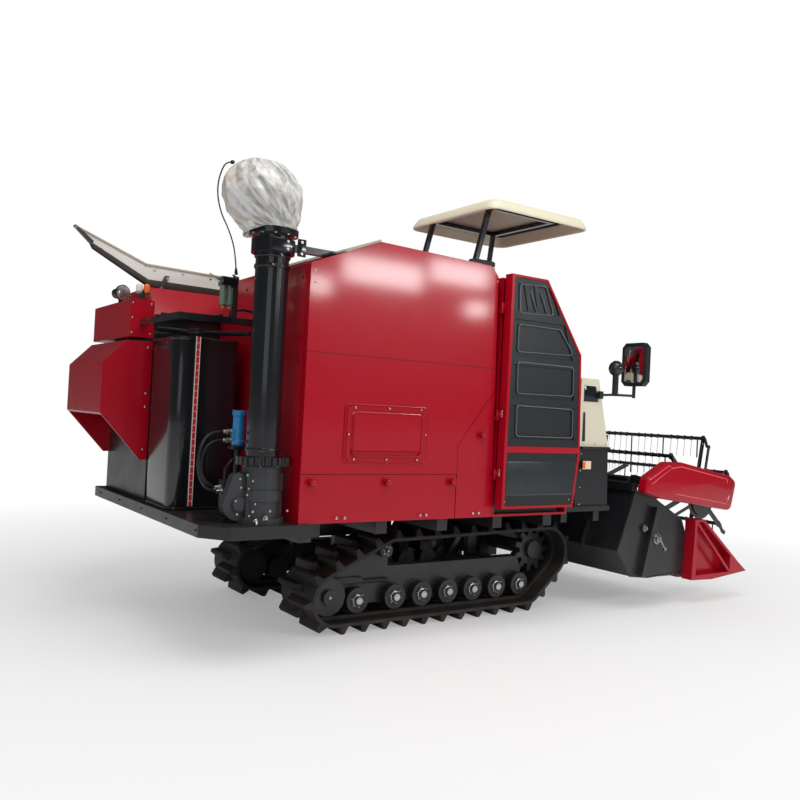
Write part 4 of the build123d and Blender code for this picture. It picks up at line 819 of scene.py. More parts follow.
# columns: height over the flange, shift to the rear, radius
bag_rings = (
    (3, 0, 144), (12, 2, 152), (40, 26, 186), (100, 52, 226), (180, 70, 246), (255, 76, 236), (320, 74, 194),
    (372, 70, 130), (394, 66, 30),
)
bag_lean = 0.62  # shift to the left for each shift to the rear
bag_hang = 0.6  # way in which the bag hangs over, as a turn from the rear
bag_twist = 1.5  # turn of the folds between flange and neck
bag_around, bag_rows = 150, 84
bag_bulge, bag_droop, bag_wave = 30, 44, 6  # out over the flange's edge, down past it, and up and down all round
bag_skirt = 0.3  # share of the bag that bulges and droops
# columns: ridges round the bag, their depth, the turn of the first
bag_ridges = ((2, 9.0, 0.6), (5, 8.0, 1.7), (9, 5.0, 2.9))
auger_top = (-1845, -1000, 2430)  # middle of the tube's upper flange


class HARVESTER_OT_bag(Operator):
    """Tie the crumpled film bag over the auger's mouth"""

    bl_idname = "harvester.bag"
    bl_label = "Mouth Bag"

    def execute(self, context):
        steps = np.linspace(0, 1, len(bag_rings))
        points, folds = [], []
        for r in range(bag_rows + 1):
            along = r / bag_rows
            height, back, radius = (float(np.interp(along, steps, column)) for column in zip(*bag_rings))
            for k in range(bag_around):
                turn = 2 * pi * k / bag_around
                spread = radius + self.fold(turn, along)
                # the bag bulges away from the machine and hangs below the flange there
                rear = max(0.0, -cos(turn + bag_hang)) ** 1.5
                low = max(0.0, 1 - along / bag_skirt)
                out = bag_bulge * rear * low
                wave = noise.noise(Vector((cos(turn), sin(turn), along)) * 2.5) * min(1.0, along * 8)
                points.append(Vector((
                    auger_top[0] - back + spread * cos(turn) - out * cos(bag_hang),
                    auger_top[1] + bag_lean * back + spread * sin(turn) + out * sin(bag_hang),
                    auger_top[2] + height - bag_droop * rear * low ** 1.3 + bag_wave * wave,
                )) * MM)
                swirl = turn + bag_twist * along
                folds.extend(Vector((cos(swirl), sin(swirl), 0.77 * along)) * 5.0)
        faces = skin(bag_rows + 1, bag_around) + lids(bag_rows + 1, bag_around)[1:]
        bag = object_from("mouth_bag_film", points, faces, "bag_film", True)
        bag.data.attributes.new("fold_place", "FLOAT_VECTOR", "POINT").data.foreach_set("vector", folds)
        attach(bag, "auger")
        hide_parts("mouth_bag")
        spout = Shape()
        x, y, z = auger_top
        spout.turned((x, y, z), (x - 50, y, z + 180), [(0, 92), (0.5, 104), (1, 112)], 28)
        spout.turned((x - 50, y, z + 180), (x - 120, y, z + 290), [(0, 112), (0.6, 100), (1, 70)], 28)
        spout.make("auger_spout", "dark_paint", "auger")
        clip = Shape()
        clip.box((x - 268, x - 250), (y + 20, y + 40), (z + 336, z + 354), 2)
        clip.make("cable_clip", "black_plastic", "auger")
        return {"FINISHED"}

    def fold(self, turn, along):
        """How far the film stands off its smooth shape: ridges that gather towards the neck."""
        swirl = turn + bag_twist * along
        place = Vector((cos(turn), sin(turn), along * 2.0))
        bend = 1.1 * noise.noise(place * 1.1 + Vector((5, 2, 7)))
        ridge = 0.0
        for count, depth, start in bag_ridges:
            ridge += depth * (1 - 1.8 * abs(sin(count * (swirl + bend) / 2 + start + 1.9 * along)))
        slant = abs(sin(3.1 * turn - 9.0 * along + 2.2 * bend))
        ridge += 9.0 * (0.6 - slant ** 0.6)
        crumple = 16 * noise.noise(place * 1.2) + 10 * (0.5 - abs(noise.noise(place * 3.4 + Vector((3, 1, 2)))))
        crease_width, crease_depth = 0.16, 9
        crease = max(0.0, crease_width - abs(noise.noise(place * 2.6 + Vector((8, 4, 1)))))
        crumple -= crease_depth * crease / crease_width
        # the folds are shallow where the film is tied, and where it closes
        fade = min(1.0, along * 5.0) * min(1.0, (1 - along) * 4.0 + 0.1)
        return (0.75 * ridge + crumple - 9) * (0.25 + 0.75 * fade)


def pad_mesh(half, crown, channels):
    """A crowned pad round the origin, in millimetres: faces, and points whose last axis is its thickness."""
    steps, squareness, groove_width, waist = 26, 5.0, 7.0, 0.02
    form = bmesh.new()
    bmesh.ops.create_cube(form, size=2.0)
    bmesh.ops.subdivide_edges(form, edges=form.edges, cuts=steps, use_grid_fill=True)
    form.verts.ensure_lookup_table()
    points = []
    for vertex in form.verts:
        length = sum(abs(part) ** squareness for part in vertex.co) ** (1 / squareness)
        u, v, w = (part / length for part in vertex.co)
        top = max(0.0, w)
        rise = crown * (1 - u * u) * (1 - v * v) * top
        for axis, lines, depth in channels:
            across = (u if axis == 0 else v) * half[axis]
            rise -= depth * top * sum(exp(-((across - line) / groove_width) ** 2) for line in lines)
        pull = 1 - waist * (1 - (v if abs(u) > abs(v) else u) ** 2)
        points.append(Vector((u * half[0] * pull, v * half[1] * pull, w * half[2] + rise)))
    faces = [[vertex.index for vertex in face.verts] for face in form.faces]
    form.free()
    return points, faces


class HARVESTER_OT_seat(Operator):
    """Pad the seat and the rest behind it"""

    bl_idname = "harvester.seat"
    bl_label = "Seat"

    def execute(self, context):
        cushion = self.pad("seat_cushion", (100, -560, 1617), (1, 0, 0), (0, 1, 0), (225, 236, 52), 9,
                           [(0, (-70, 20, 110), 5), (1, (-150, 150), 6)])
        back = self.pad("seat_back", (-130, -560, 1935), (-0.178, 0, 0.984), (0, 1, 0), (240, 216, 30), 10,
                        [(0, (-110, -30, 50, 130), 5), (1, (-140, 140), 6)])
        rest = self.pad("canopy_pad", (-196, -880, 2500), (1, 0, 0.02), (0, 1, 0), (112, 22, 22), 3, [(0, (0,), 2)])
        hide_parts("seat")
        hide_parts("seat")
        stand = Shape()
        stand.box((-128, 330), (-785, -335), (1561, 1572), 3)
        for y in (-700, -420):
            stand.pipe([(-92, y, 1600), (-128, y, 1700), (-206, y, 2120)], 11)
        stand.make("seat_frame", "frame_paint")
        Shape().box((-300, -84), (-892, -868), (2468, 2480), 2).make("canopy_pad_stay", "frame_paint")
        return {"FINISHED"}

    def pad(self, name, centre, along, across, half, crown, channels):
        """One vinyl pad with sewn channels, its top looking up or ahead."""
        along, across = Vector(along).normalized(), Vector(across).normalized()
        out = along.cross(across)
        points, faces = pad_mesh(half, crown, channels)
        placed = [(Vector(centre) + along * p.x + across * p.y + out * p.z) * MM for p in points]
        made = object_from(name, placed, faces, "seat_vinyl", True)
        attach(made, "root")
        return made


track_middle = 580  # from the machine's middle
track_half = 215  # of its width
track_hub = 110  # from its middle out to its hubs
# its wheels: place along the machine, height, hub radius
track_wheels = (
    (-957, 185, 40), (-658, 185, 40), (-430, 185, 40), (-202, 185, 40), (26, 185, 40), (254, 185, 40), (482, 185, 40),
    (-1180, 225, 26), (-745, 501, 22),
)
# wheels that the belt wraps: x, z, outside radius of the belt
belt_wraps = ((-1180, 225, 175), (-745, 501, 100), (670, 425, 200), (482, 185, 135))
belt_pairs = 31  # lugs on each side of a track
belt_points = 180  # along its outline
rail_sides = (62, 98)  # of its guide rails, from its middle
lug_inset = 133.5  # from its edge to a lug's middle
lug_sink = 2  # of a lug's root under its outside


def belt_loop(inset):
    """The belt's outline at a depth under its outside, as the hull round its wheels."""
    steps = 72
    spots = sorted((x + (wrap - inset) * cos(2 * pi * k / steps), z + (wrap - inset) * sin(2 * pi * k / steps))
                   for x, z, wrap in belt_wraps for k in range(steps))

    def half(points):
        chain = []
        for point in points:
            while len(chain) > 1 and (
                (chain[-1][0] - chain[-2][0]) * (point[1] - chain[-2][1])
                - (chain[-1][1] - chain[-2][1]) * (point[0] - chain[-2][0])
            ) <= 0:
                chain.pop()
            chain.append(point)
        return chain[:-1]

    return half(spots) + half(spots[::-1])


def along_loop(loop, count, first=0.0):
    """Evenly spaced (x, z) points on a closed outline, each with its way out."""
    ends = loop[1:] + loop[:1]
    spans = [((b[0] - a[0]) ** 2 + (b[1] - a[1]) ** 2) ** 0.5 for a, b in zip(loop, ends)]
    places, gone, k = [], 0.0, 0
    for n in range(count):
        wanted = (n + first) / count * sum(spans)
        while gone + spans[k] < wanted:
            gone += spans[k]
            k += 1
        (ax, az), (bx, bz) = loop[k], ends[k]
        share = (wanted - gone) / spans[k]
        place = (ax + (bx - ax) * share, az + (bz - az) * share)
        places.append((place, ((bz - az) / spans[k], (ax - bx) / spans[k])))
    return places


class HARVESTER_OT_running_gear(Operator):
    """Lay the rubber tracks, cap their wheels and bolt their hubs"""

    bl_idname = "harvester.running_gear"
    bl_label = "Running Gear"

    def execute(self, context):
        for side, label in ((-1, "right"), (1, "left")):
            self.track(side * track_middle, label)
            face = side * (track_middle + track_hub)
            caps, dark, bolts = Shape(), Shape(), []
            for x, z, radius in track_wheels:
                caps.boss((x, z), face - side * 2, face + side * 28, [
                    (0, radius), (0.22, radius), (0.3, radius - 4), (0.36, radius - 12), (0.8, radius - 14),
                    (0.93, radius - 17), (1.0, radius - 24),
                ], 28)
                dark.boss((x, z), face - side * 3, face + side * 4, [
                    (0, radius + 15), (0.7, radius + 15), (1, radius + 12)], 28)
                bolts += ring((x, face + side * 5, z), (0, side, 0), radius + 7, 6, 0.35)
            caps.make(f"hub_caps_{label}", "hub_steel")
            dark.make(f"hub_rims_{label}", "frame_paint")
            fasten(f"hub_bolts_{label}", bolts, bolt_tree, "zinc")
            tensioner = Shape()
            tensioner.boss((-1090, 300), side * 628, side * 640, [(0, 12), (1, 10)], 16)
            tensioner.box((-1130, -900), (side * 626, side * 650), (262, 330), 6)
            tensioner.pipe([(x, side * 640, 296) for x in (-1180, -900, -700)], 14)
            tensioner.make(f"track_tensioner_{label}", "frame_paint")
        return {"FINISHED"}

    def track(self, middle, label):
        """One rubber track: a belt with its guide rails, and lugs on alternate sides."""
        low, high = middle - track_half, middle + track_half
        belt = Shape()
        # columns: depth outside and inside, across from and to
        for outside, inside, start, end in (
            (0, 25, low + 6, high - 6), (2, 23, low, high), (23, 45, middle - rail_sides[1], middle - rail_sides[0]),
            (23, 45, middle + rail_sides[0], middle + rail_sides[1]),
        ):
            outer, inner = ([place for place, out in along_loop(belt_loop(depth), belt_points)]
                            for depth in (outside, inside))
            rows = [(outer, start), (outer, end), (inner, end), (inner, start), (outer, start)]
            points = [(x, y, z) for loop, y in rows for x, z in loop]
            belt.add(points, skin(len(rows), belt_points))
        belt = belt.make(f"belt_{label}", "track_rubber", smooth=40)
        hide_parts(f"track_{label}")
        points, outs = [], []
        for k, ((x, z), (out_x, out_z)) in enumerate(along_loop(belt_loop(0), 2 * belt_pairs, 0.25)):
            y = high - lug_inset if k % 2 else low + lug_inset
            points.append(Vector((x - lug_sink * out_x, y, z - lug_sink * out_z)) * MM)
            outs.append((out_x, 0.0, out_z))
        lugs = grow(f"lugs_{label}", lug_tree, points, {"aim": ("FLOAT_VECTOR", outs)}, {
            "Height": 0.0515}, "track_rubber", "root")
        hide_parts(f"track_{label}")


class HARVESTER_OT_body_panels(Operator):
    """Add knobs, seams, strips and fasteners to the tank and the covers"""

    bl_idname = "harvester.body_panels"
    bl_label = "Body Panels"

    def execute(self, context):
        tank_side, skirt_side, cover_side, hood_side = -1165, -1184, -1177, 99
        knobs = Shape()
        lobes, reach = 7, 18
        for x, z in ((-1614, 1010), (-1100, 1010), (-603, 1010), (-373, 1314)):
            knobs.boss((x, z), -1182, -1206, [
                (0, 10), (0.3, 10), (0.32, 18), (0.8, 18), (0.92, 15), (1, 8)], 24)
            for k in range(lobes):
                a, b = x + reach * cos(2 * pi * k / lobes), z + reach * sin(2 * pi * k / lobes)
                knobs.boss((a, b), -1189, -1204, [(0, 6), (0.8, 6), (1, 4)], 10)
        knobs.make("cover_knobs", "red_paint")
        Shape().box((-1678, -272), (-1165.2, -1163), (1753, 1756)).make("panel_seams", "seam_shadow", smooth=0)
        loops = Shape()
        for low_x, high_x, low_z, high_z, depth in ((-1410, -816, 1128, 1470, 1166), (-1355, -862, 1166, 1425, 1178)):
            outline = rounded([(low_x, low_z), (low_x, high_z), (high_x, high_z), (high_x, low_z)], 30)
            loops.bead(closed(outline), -depth, 5)
        loops.make("access_cover_ribs", "red_paint")
        spots = row((-1650, tank_side, 2215), (-1650, tank_side, 2075), 3, RIGHT, 0.7)
        spots += spot((-290, tank_side, 2330), RIGHT, 0.6)
        for x in (-1443, -1388, -844, -798, -422, -374):
            spots += spot((x, skirt_side, 806), RIGHT, 0.8)
        for x, z in ((-1347, 1449), (-1108, 1453), (-871, 1456), (-1385, 1291), (-829, 1302), (-1343, 1146),
                     (-1113, 1146), (-885, 1146)):
            spots += spot((x, cover_side, z), RIGHT, 0.6)
        fasten("panel_bolts", spots, rivet_tree, "zinc", Radius=0.011, Rise=0.45)
        edge = row((-2216, -1000, 742), (-2216, 900, 742), 5, BACK, 0.7)
        edge += row((-1682, -1070, 1700), (-1682, -300, 1700), 5, BACK, 0.8)
        edge += row((-1683, -1070, 2180), (-1683, -300, 2180), 5, BACK, 0.8)
        fasten("platform_bolts", edge, bolt_tree, "frame_paint")
        strip = Shape()
        strip.plate([(-1463, 2359), (-1222, 2459), (-1222, 2445), (-1463, 2345)], "y", -1168, -1150, 1)
        strip.plate([(-1463, 2359), (-1222, 2459), (-1222, 2454), (-1463, 2353)], "y", -1150, -90, 1)
        strip.make("tank_lid_strip", "guard_edge")
        hood = spot((-2178, hood_side, 1775), RIGHT, 0.8)
        for z in (1476, 1388, 1110):
            hood += spot((-2177, hood_side, z), RIGHT, 0.8)
        for x in (-2290, -2170):
            hood += row((x, hood_side, 1865), (x, hood_side, 2060), 3, RIGHT, 0.6)
        fasten("hood_bolts", hood, rivet_tree, "zinc", Radius=0.011, Rise=0.45)
        return {"FINISHED"}


door_face = -1245.5
# the door's pressed fields, as (x, z) corners
door_fields = (
    ((-163, 2322), (74, 2338), (160, 2147), (-151, 2134)),
    ((-158, 2058), (226, 2058), (372, 1890), (-155, 1875)),
    ((-151, 1809), (372, 1809), (380, 1606), (-146, 1599)),
    ((-144, 1520), (384, 1515), (392, 1316), (-138, 1316)),
)


class HARVESTER_OT_door(Operator):
    """Dress the engine door: catches, screws, pressings outlined in a painted highlight, and the ribs of its grille"""

    bl_idname = "harvester.door"
    bl_label = "Engine Door"

    def execute(self, context):
        screw_side, rib_side, rib_pitch, rib_count = -1246, -1247.6, 15.4, 41
        screws = row((-196, screw_side, 1275), (-196, screw_side, 2340), 6, RIGHT, 0.55)
        screws += row((-196, screw_side, 1275), (420, screw_side, 1275), 4, RIGHT, 0.55)
        screws += row((-196, screw_side, 868), (430, screw_side, 868), 4, RIGHT, 0.5)
        fasten("door_screws", screws, rivet_tree, "black_plastic", "engine_door", Radius=0.011, Rise=0.5)
        catches = Shape()
        for z in (1072, 1458):
            catches.box((-271, -266), (-1246, -1226), (z - 22, z + 22), 2)
            catches.pipe([(-270, -1244, z), (-275, -1244, z), (-275, -1230, z), (-270, -1230, z)], 3)
        catches.make("door_catches", "zinc", "engine_door")
        # the pressings' outlines are beads in a lighter grey: a painted highlight
        fields = Shape()
        for outline in door_fields:
            fields.bead(closed(rounded(outline, 26)), door_face, 4.4)
        for line in (((-71, 2294), (0, 2150)), ((21, 2295), (98, 2150))):
            fields.bead(line, door_face, 4.4)
        fields.make("door_pressings", "door_rib", "engine_door")
        backing = Shape().box((-206, 440), (rib_side, -1240), (922, 1150), 1)
        backing.make("grille_backing", "door_plastic", "engine_door")
        ribs = [Vector((-196 + rib_pitch * k, rib_side, 1036)) * MM for k in range(rib_count)]
        grow("grille_ribs", slat_tree, ribs, {}, {"Size": (0.006, 0.0044, 0.212)}, "door_plastic", "engine_door")
        places = []
        for a, b in ((-212, 885), (386, 889), (424, 1098)):
            places += spot((a, -1245, b), RIGHT, 0.8)
        fasten("grille_screws", places, rivet_tree, "zinc", "engine_door", Radius=0.009, Rise=0.2)
        return {"FINISHED"}


class HARVESTER_OT_rear(Operator):
    """Fit out the rear: fuel tank and gauge, filters, guard trim, lamps and pipes"""

    bl_idname = "harvester.rear"
    bl_label = "Rear Fittings"

    def execute(self, context):
        filter_row, mark_pitch, mark_count = -600, 42, 24
        Shape().box((-2053, -2029), (-434, -430), (800, 1834), 1).make("level_strip", "scale_red", smooth=0)
        edges = Shape()
        for x in (-2055, -2030):
            edges.box((x, x + 4), (-437, -430), (798, 1836), 1)
        edges.make("level_strip_edges", "scale_white", smooth=0)
        marks = [Vector((-2040, -434.5, 830 + mark_pitch * k)) * MM for k in range(mark_count)]
        grow("level_marks", slat_tree, marks, {}, {"Size": (0.024, 0.0016, 0.003)}, "scale_white", "root")
        heads, cores, bowls, nuts = Shape(), Shape(), Shape(), Shape()
        for x in (-1965, -1925):
            heads.post((x, filter_row), 2139, 2192, [(0, 25), (0.5, 25), (0.6, 18), (1, 16)], 20)
            cores.post((x, filter_row), 2032, 2132, [(0, 18.6), (1, 18.6)], 20)
            bowls.post((x, filter_row), 2018, 2139, [(0, 12), (0.06, 21), (0.2, 23), (1, 23)], 24)
            nuts.post((x, filter_row), 2006, 2020, [(0, 9), (1, 12)], 8)
        heads.pipe([(-1990, filter_row, 2165), (-2020, filter_row, 2180), (-2050, -580, 2205)], 7)
        heads.pipe([(-1900, -618, 2170), (-1905, -640, 2195), (-1930, -645, 2205)], 6)
        heads.box((-1985, -1905), (-618, -575), (2172, 2198), 6)
        heads.make("filter_heads", "zinc")
        cores.make("filter_cores", "filter_core")
        bowls.make("filter_bowls", "clear_glass")
        nuts.make("filter_nuts", "brass")
        self.guard()
        self.lamps()
        self.fuel_tank()
        pipes = Shape()
        pipes.pipe([
            (-2150, -40, 1990), (-2010, -40, 1990), (-1960, -90, 1985), (-1950, -300, 1975), (-1940, -520, 1965)], 13)
        pipes.pipe([
            (-2150, 30, 1900), (-1990, 30, 1900), (-1900, -60, 1890), (-1790, -300, 1885), (-1700, -420, 1885)], 16)
        pipes.pipe([(-1700, -520, 2010), (-1800, -520, 2020), (-1890, -540, 2000), (-1900, -560, 1960)], 9)
        pipes.make("rear_pipes", "hose_rubber")
        caps = Shape()
        caps.post((-1890, filter_row), 2185, 2203, [(0, 20), (0.7, 20), (1, 18)], 20)
        caps.post((-1960, -180), 1868, 1905, [(0, 52), (0.2, 52), (0.3, 46), (0.9, 46), (1, 42)], 28)
        caps.make("rear_caps", "black_plastic")
        return {"FINISHED"}

    def guard(self):
        """The guard's dark lower lip, its pale top edge and its stay, and the pan under the body."""
        sides, flange = (293, 347), 7.5
        lip = Shape()
        lower = [(-1610, 2196), (-2128, 2203), (-2508, 2408)]
        upper = [(-2530, 2446), (-2141, 2250), (-1610, 2243)]
        for y in (sides[0], sides[1] - flange):
            lip.plate([*lower, *upper], "y", y, y + flange, 1)
        lip.plate([(-2522, 2436), (-2634, 2538), (-2626, 2541), (-2510, 2452)], "y", *sides, 1)
        lip.make("guard_lip", "guard_lip")
        rim = Shape()
        rim.plate([(-2632, 2541), (-2160, 2357), (-2160, 2341), (-2626, 2525)], "y", 294, 346, 1)
        rim.plate([(-2157, 2356), (-1612, 2342), (-1612, 2327), (-2157, 2341)], "y", 294, 346, 1)
        rim.make("guard_rim", "guard_edge")
        belly = Shape()
        belly.box((-1590, 40), (-340, 340), (660, 700), 6)
        belly.box((-1400, -480), (-344, -330), (560, 700), 4)
        belly.box((-1590, -1500), (-1000, -420), (640, 700), 4)
        belly.make("belly_pan", "frame_paint")
        stay = Shape()
        stay.plate([(-2030, 2290), (-2000, 2290), (-2042, 2180), (-2078, 2180)], "y", 284, 296, 2)
        stay.make("guard_stay", "grey_paint")
        bolts = row((-1700, 299, 2310), (-2100, 299, 2318), 3, RIGHT, 0.7)
        bolts += row((-2014, 284, 2270), (-2050, 284, 2200), 2, RIGHT, 0.8)
        fasten("guard_bolts", bolts, bolt_tree, "zinc")

    def lamps(self):
        """The work lamp's reflector and glass, and the rear indicator."""
        middle = Vector((-2240, 520, 2165))
        way = Vector((0.3, -0.95, 0)).normalized()
        post, indicator, marker = (-2215, 160), (-2190, 160), (-2238, 160)
        case, bowl, lens = Shape(), Shape(), Shape()
        case.turned(middle - way * 92, middle + way * 4, [
            (0, 20), (0.05, 34), (0.45, 38), (0.62, 44), (0.8, 56), (0.97, 58), (1, 54)], 32)
        case.box((-2250, -2214), (560, 596), (2083, 2130), 3)
        bowl.turned(middle - way * 2, middle + way * 4.5, [(0, 53), (1, 53)], 32)
        for radius in (12, 24, 36, 48):
            bowl.turned(middle + way * 4, middle + way * 9, [(0, radius), (0.6, radius), (1, radius - 5)], 32)
        lens.turned(middle + way * 8, middle + way * 15, [(0, 53), (0.4, 50), (0.8, 34), (1, 6)], 32)
        case.post(post, 2096, 2150, [(0, 14), (1, 14)], 16)
        case.box((-2232, -2198), (143, 177), (2083, 2098), 2)
        case = case.make("work_lamp_case", "black_plastic")
        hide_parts("rear_lamps")
        bowl.make("work_lamp_reflector", "lamp_reflector")
        lens.make("work_lamp_glass", "clear_glass")
        amber = Shape()
        amber.post(indicator, 2140, 2196, [(0, 20), (0.1, 22), (0.8, 20), (1, 14)], 24)
        amber.make("rear_indicator", "amber_plastic")
        clear = Shape()
        clear.post(marker, 2142, 2196, [(0, 17), (0.2, 22), (0.8, 22), (1, 12)], 24)
        clear.make("rear_marker", "scale_white")
        Shape().box((-2262, -2168), (150, 170), (2130, 2146), 3).make("rear_lamp_bar", "zinc")

    def fuel_tank(self):
        """The fuel tank with its rounded corners and folded rims."""
        outline = rounded([(-2179, -430), (-1745, -430), (-1745, 60), (-2179, 60)], 88, 8)
        inner = rounded([(-2174, -425), (-1750, -425), (-1750, 55), (-2174, 55)], 84, 8)
        tank = Shape()
        tank.plate(inner, "z", 779, 1824, 3)
        tank.plate(outline, "z", 777, 790, 3)
        tank.plate(outline, "z", 1812, 1830, 4)
        for x in (-2120, -1800):
            tank.box((x - 14, x + 14), (-434, -424), (800, 850), 3)
        tank = tank.make("fuel_tank_shell", "dark_paint")
        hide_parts("fuel_tank")
        # a dark plate over the threshing cover's lower side: partly the black threshing body seen there, partly painted
        # shade under the cover's edge
        black_and_shade_plate = Shape()
        black_and_shade_plate.box((-2148, -1690), (92, 100.5), (1836, 1992), 2)
        black_and_shade_plate.box((-2148, -1690), (60, 96), (1986, 1998), 2)
        black_and_shade_plate.make("side_tray", "dark_paint")


class HARVESTER_OT_auger(Operator):
    """Bolt the auger's flange, clamps and gearbox, and mount its swing motor"""

    bl_idname = "harvester.auger"
    bl_label = "Unloading Auger"

    def execute(self, context):
        motor = (-1905, -790)
        x, y, z = auger_top
        flange = ring((x, y, z - 30), DOWN, 122, 10, 1.0, 0.2)
        flange += ring((x, y, z), UP, 131, 10, 0.7, 0.2)
        fasten("flange_bolts", flange, bolt_tree, "zinc", "auger")
        clamps = Shape()
        for height in (1186, 2221, 2278):
            clamps.post((x, y), height - 7, height + 7, [
                (0, 101.5), (0.3, 103), (0.7, 103), (1, 101.5)], 48)
        for height in (1186, 2221):
            clamps.box((x - 66, x - 40), (y - 112, y - 84), (height - 12, height + 12), 3)
        clamps.make("tube_clamps", "dark_paint", "auger")
        gear = ring((x, y, 1094), UP, 129, 8, 0.6, 0.3)
        gear += row((x - 105, y - 139, 852), (x + 105, y - 139, 852), 3, RIGHT, 0.6)
        for z, radius in ((1010, 40), (880, 62)):
            gear += ring((-1985, -1112, z), RIGHT, radius, 5, 0.5)
        fasten("gearbox_bolts", gear, bolt_tree, "zinc")
        plates = Shape()
        plates.box((x + 96, x + 150), (y - 118, y - 110), (2285, 2385), 3)
        plates.box((x - 60, x + 60), (y - 128, y - 118), (2300, 2372), 4)
        plates.make("stay_plates", "dark_paint")
        bolts = row((x + 30, y - 128, 2356), (x + 30, y - 128, 2314), 2, RIGHT, 0.7)
        bolts += row((x + 123, y - 118, 2368), (x + 123, y - 118, 2302), 2, RIGHT, 0.7)
        fasten("stay_bolts", bolts, bolt_tree, "zinc")
        drain = Shape()
        drain.boss((-1930, 800), -1120, -1150, [(0, 12), (0.5, 12), (0.55, 8), (1, 8)], 16)
        drain.boss((-1870, 812), -1125, -1152, [(0, 16), (0.4, 16), (0.45, 10), (1, 9)], 6)
        drain.pipe([(-1930, -1145, 800), (-1930, -1150, 780)], 6)
        drain.make("drain_valve", "zinc")
        motor_case = Shape()
        motor_case.post(motor, 1192, 1398, [
            (0, 34), (0.06, 40), (0.14, 40), (0.16, 34), (0.84, 34), (0.86, 40), (0.97, 40), (1, 36)], 28)
        motor_case.box((-1945, -1905), (-812, -768), (1205, 1290), 6)
        body = motor_case.make("swing_motor_body", "blue_paint")
        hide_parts("swing_motor")
        ports = Shape()
        for height in (1222, 1272):
            ports.turned((-1938, -790, height), (-1968, -790, height), [(0, 15), (0.6, 15), (0.62, 12), (1, 12)], 6)
        for y, height in ((-837, 955), (-866, 935)):
            ports.turned((-2000, y, height), (-2024, y, height), [(0, 15), (1, 15)], 6)
        ports.make("motor_ports", "zinc")
        mount = Shape()
        mount.box((-1950, -1860), (-835, -745), (1172, 1192), 4)
        mount.post(motor, 775, 1172, [(0, 30), (0.04, 30), (0.05, 19), (1, 19)], 20)
        mount.box((-2020, -1975), (-890, -815), (775, 1000), 5)
        mount.box((-2025, -1940), (-905, -800), (775, 787), 3)
        mount.pipe([(-2000, -850, 1000), (-2000, -850, 1060), (-1960, -840, 1110), (-1925, -815, 1120)], 9)
        mount.make("motor_mount", "frame_paint")
        fasten("swing_motor_bolts", ring((*motor, 1397), UP, 36, 4, 0.7), bolt_tree, "zinc")
        return {"FINISHED"}


canopy_middle = (215, -555)


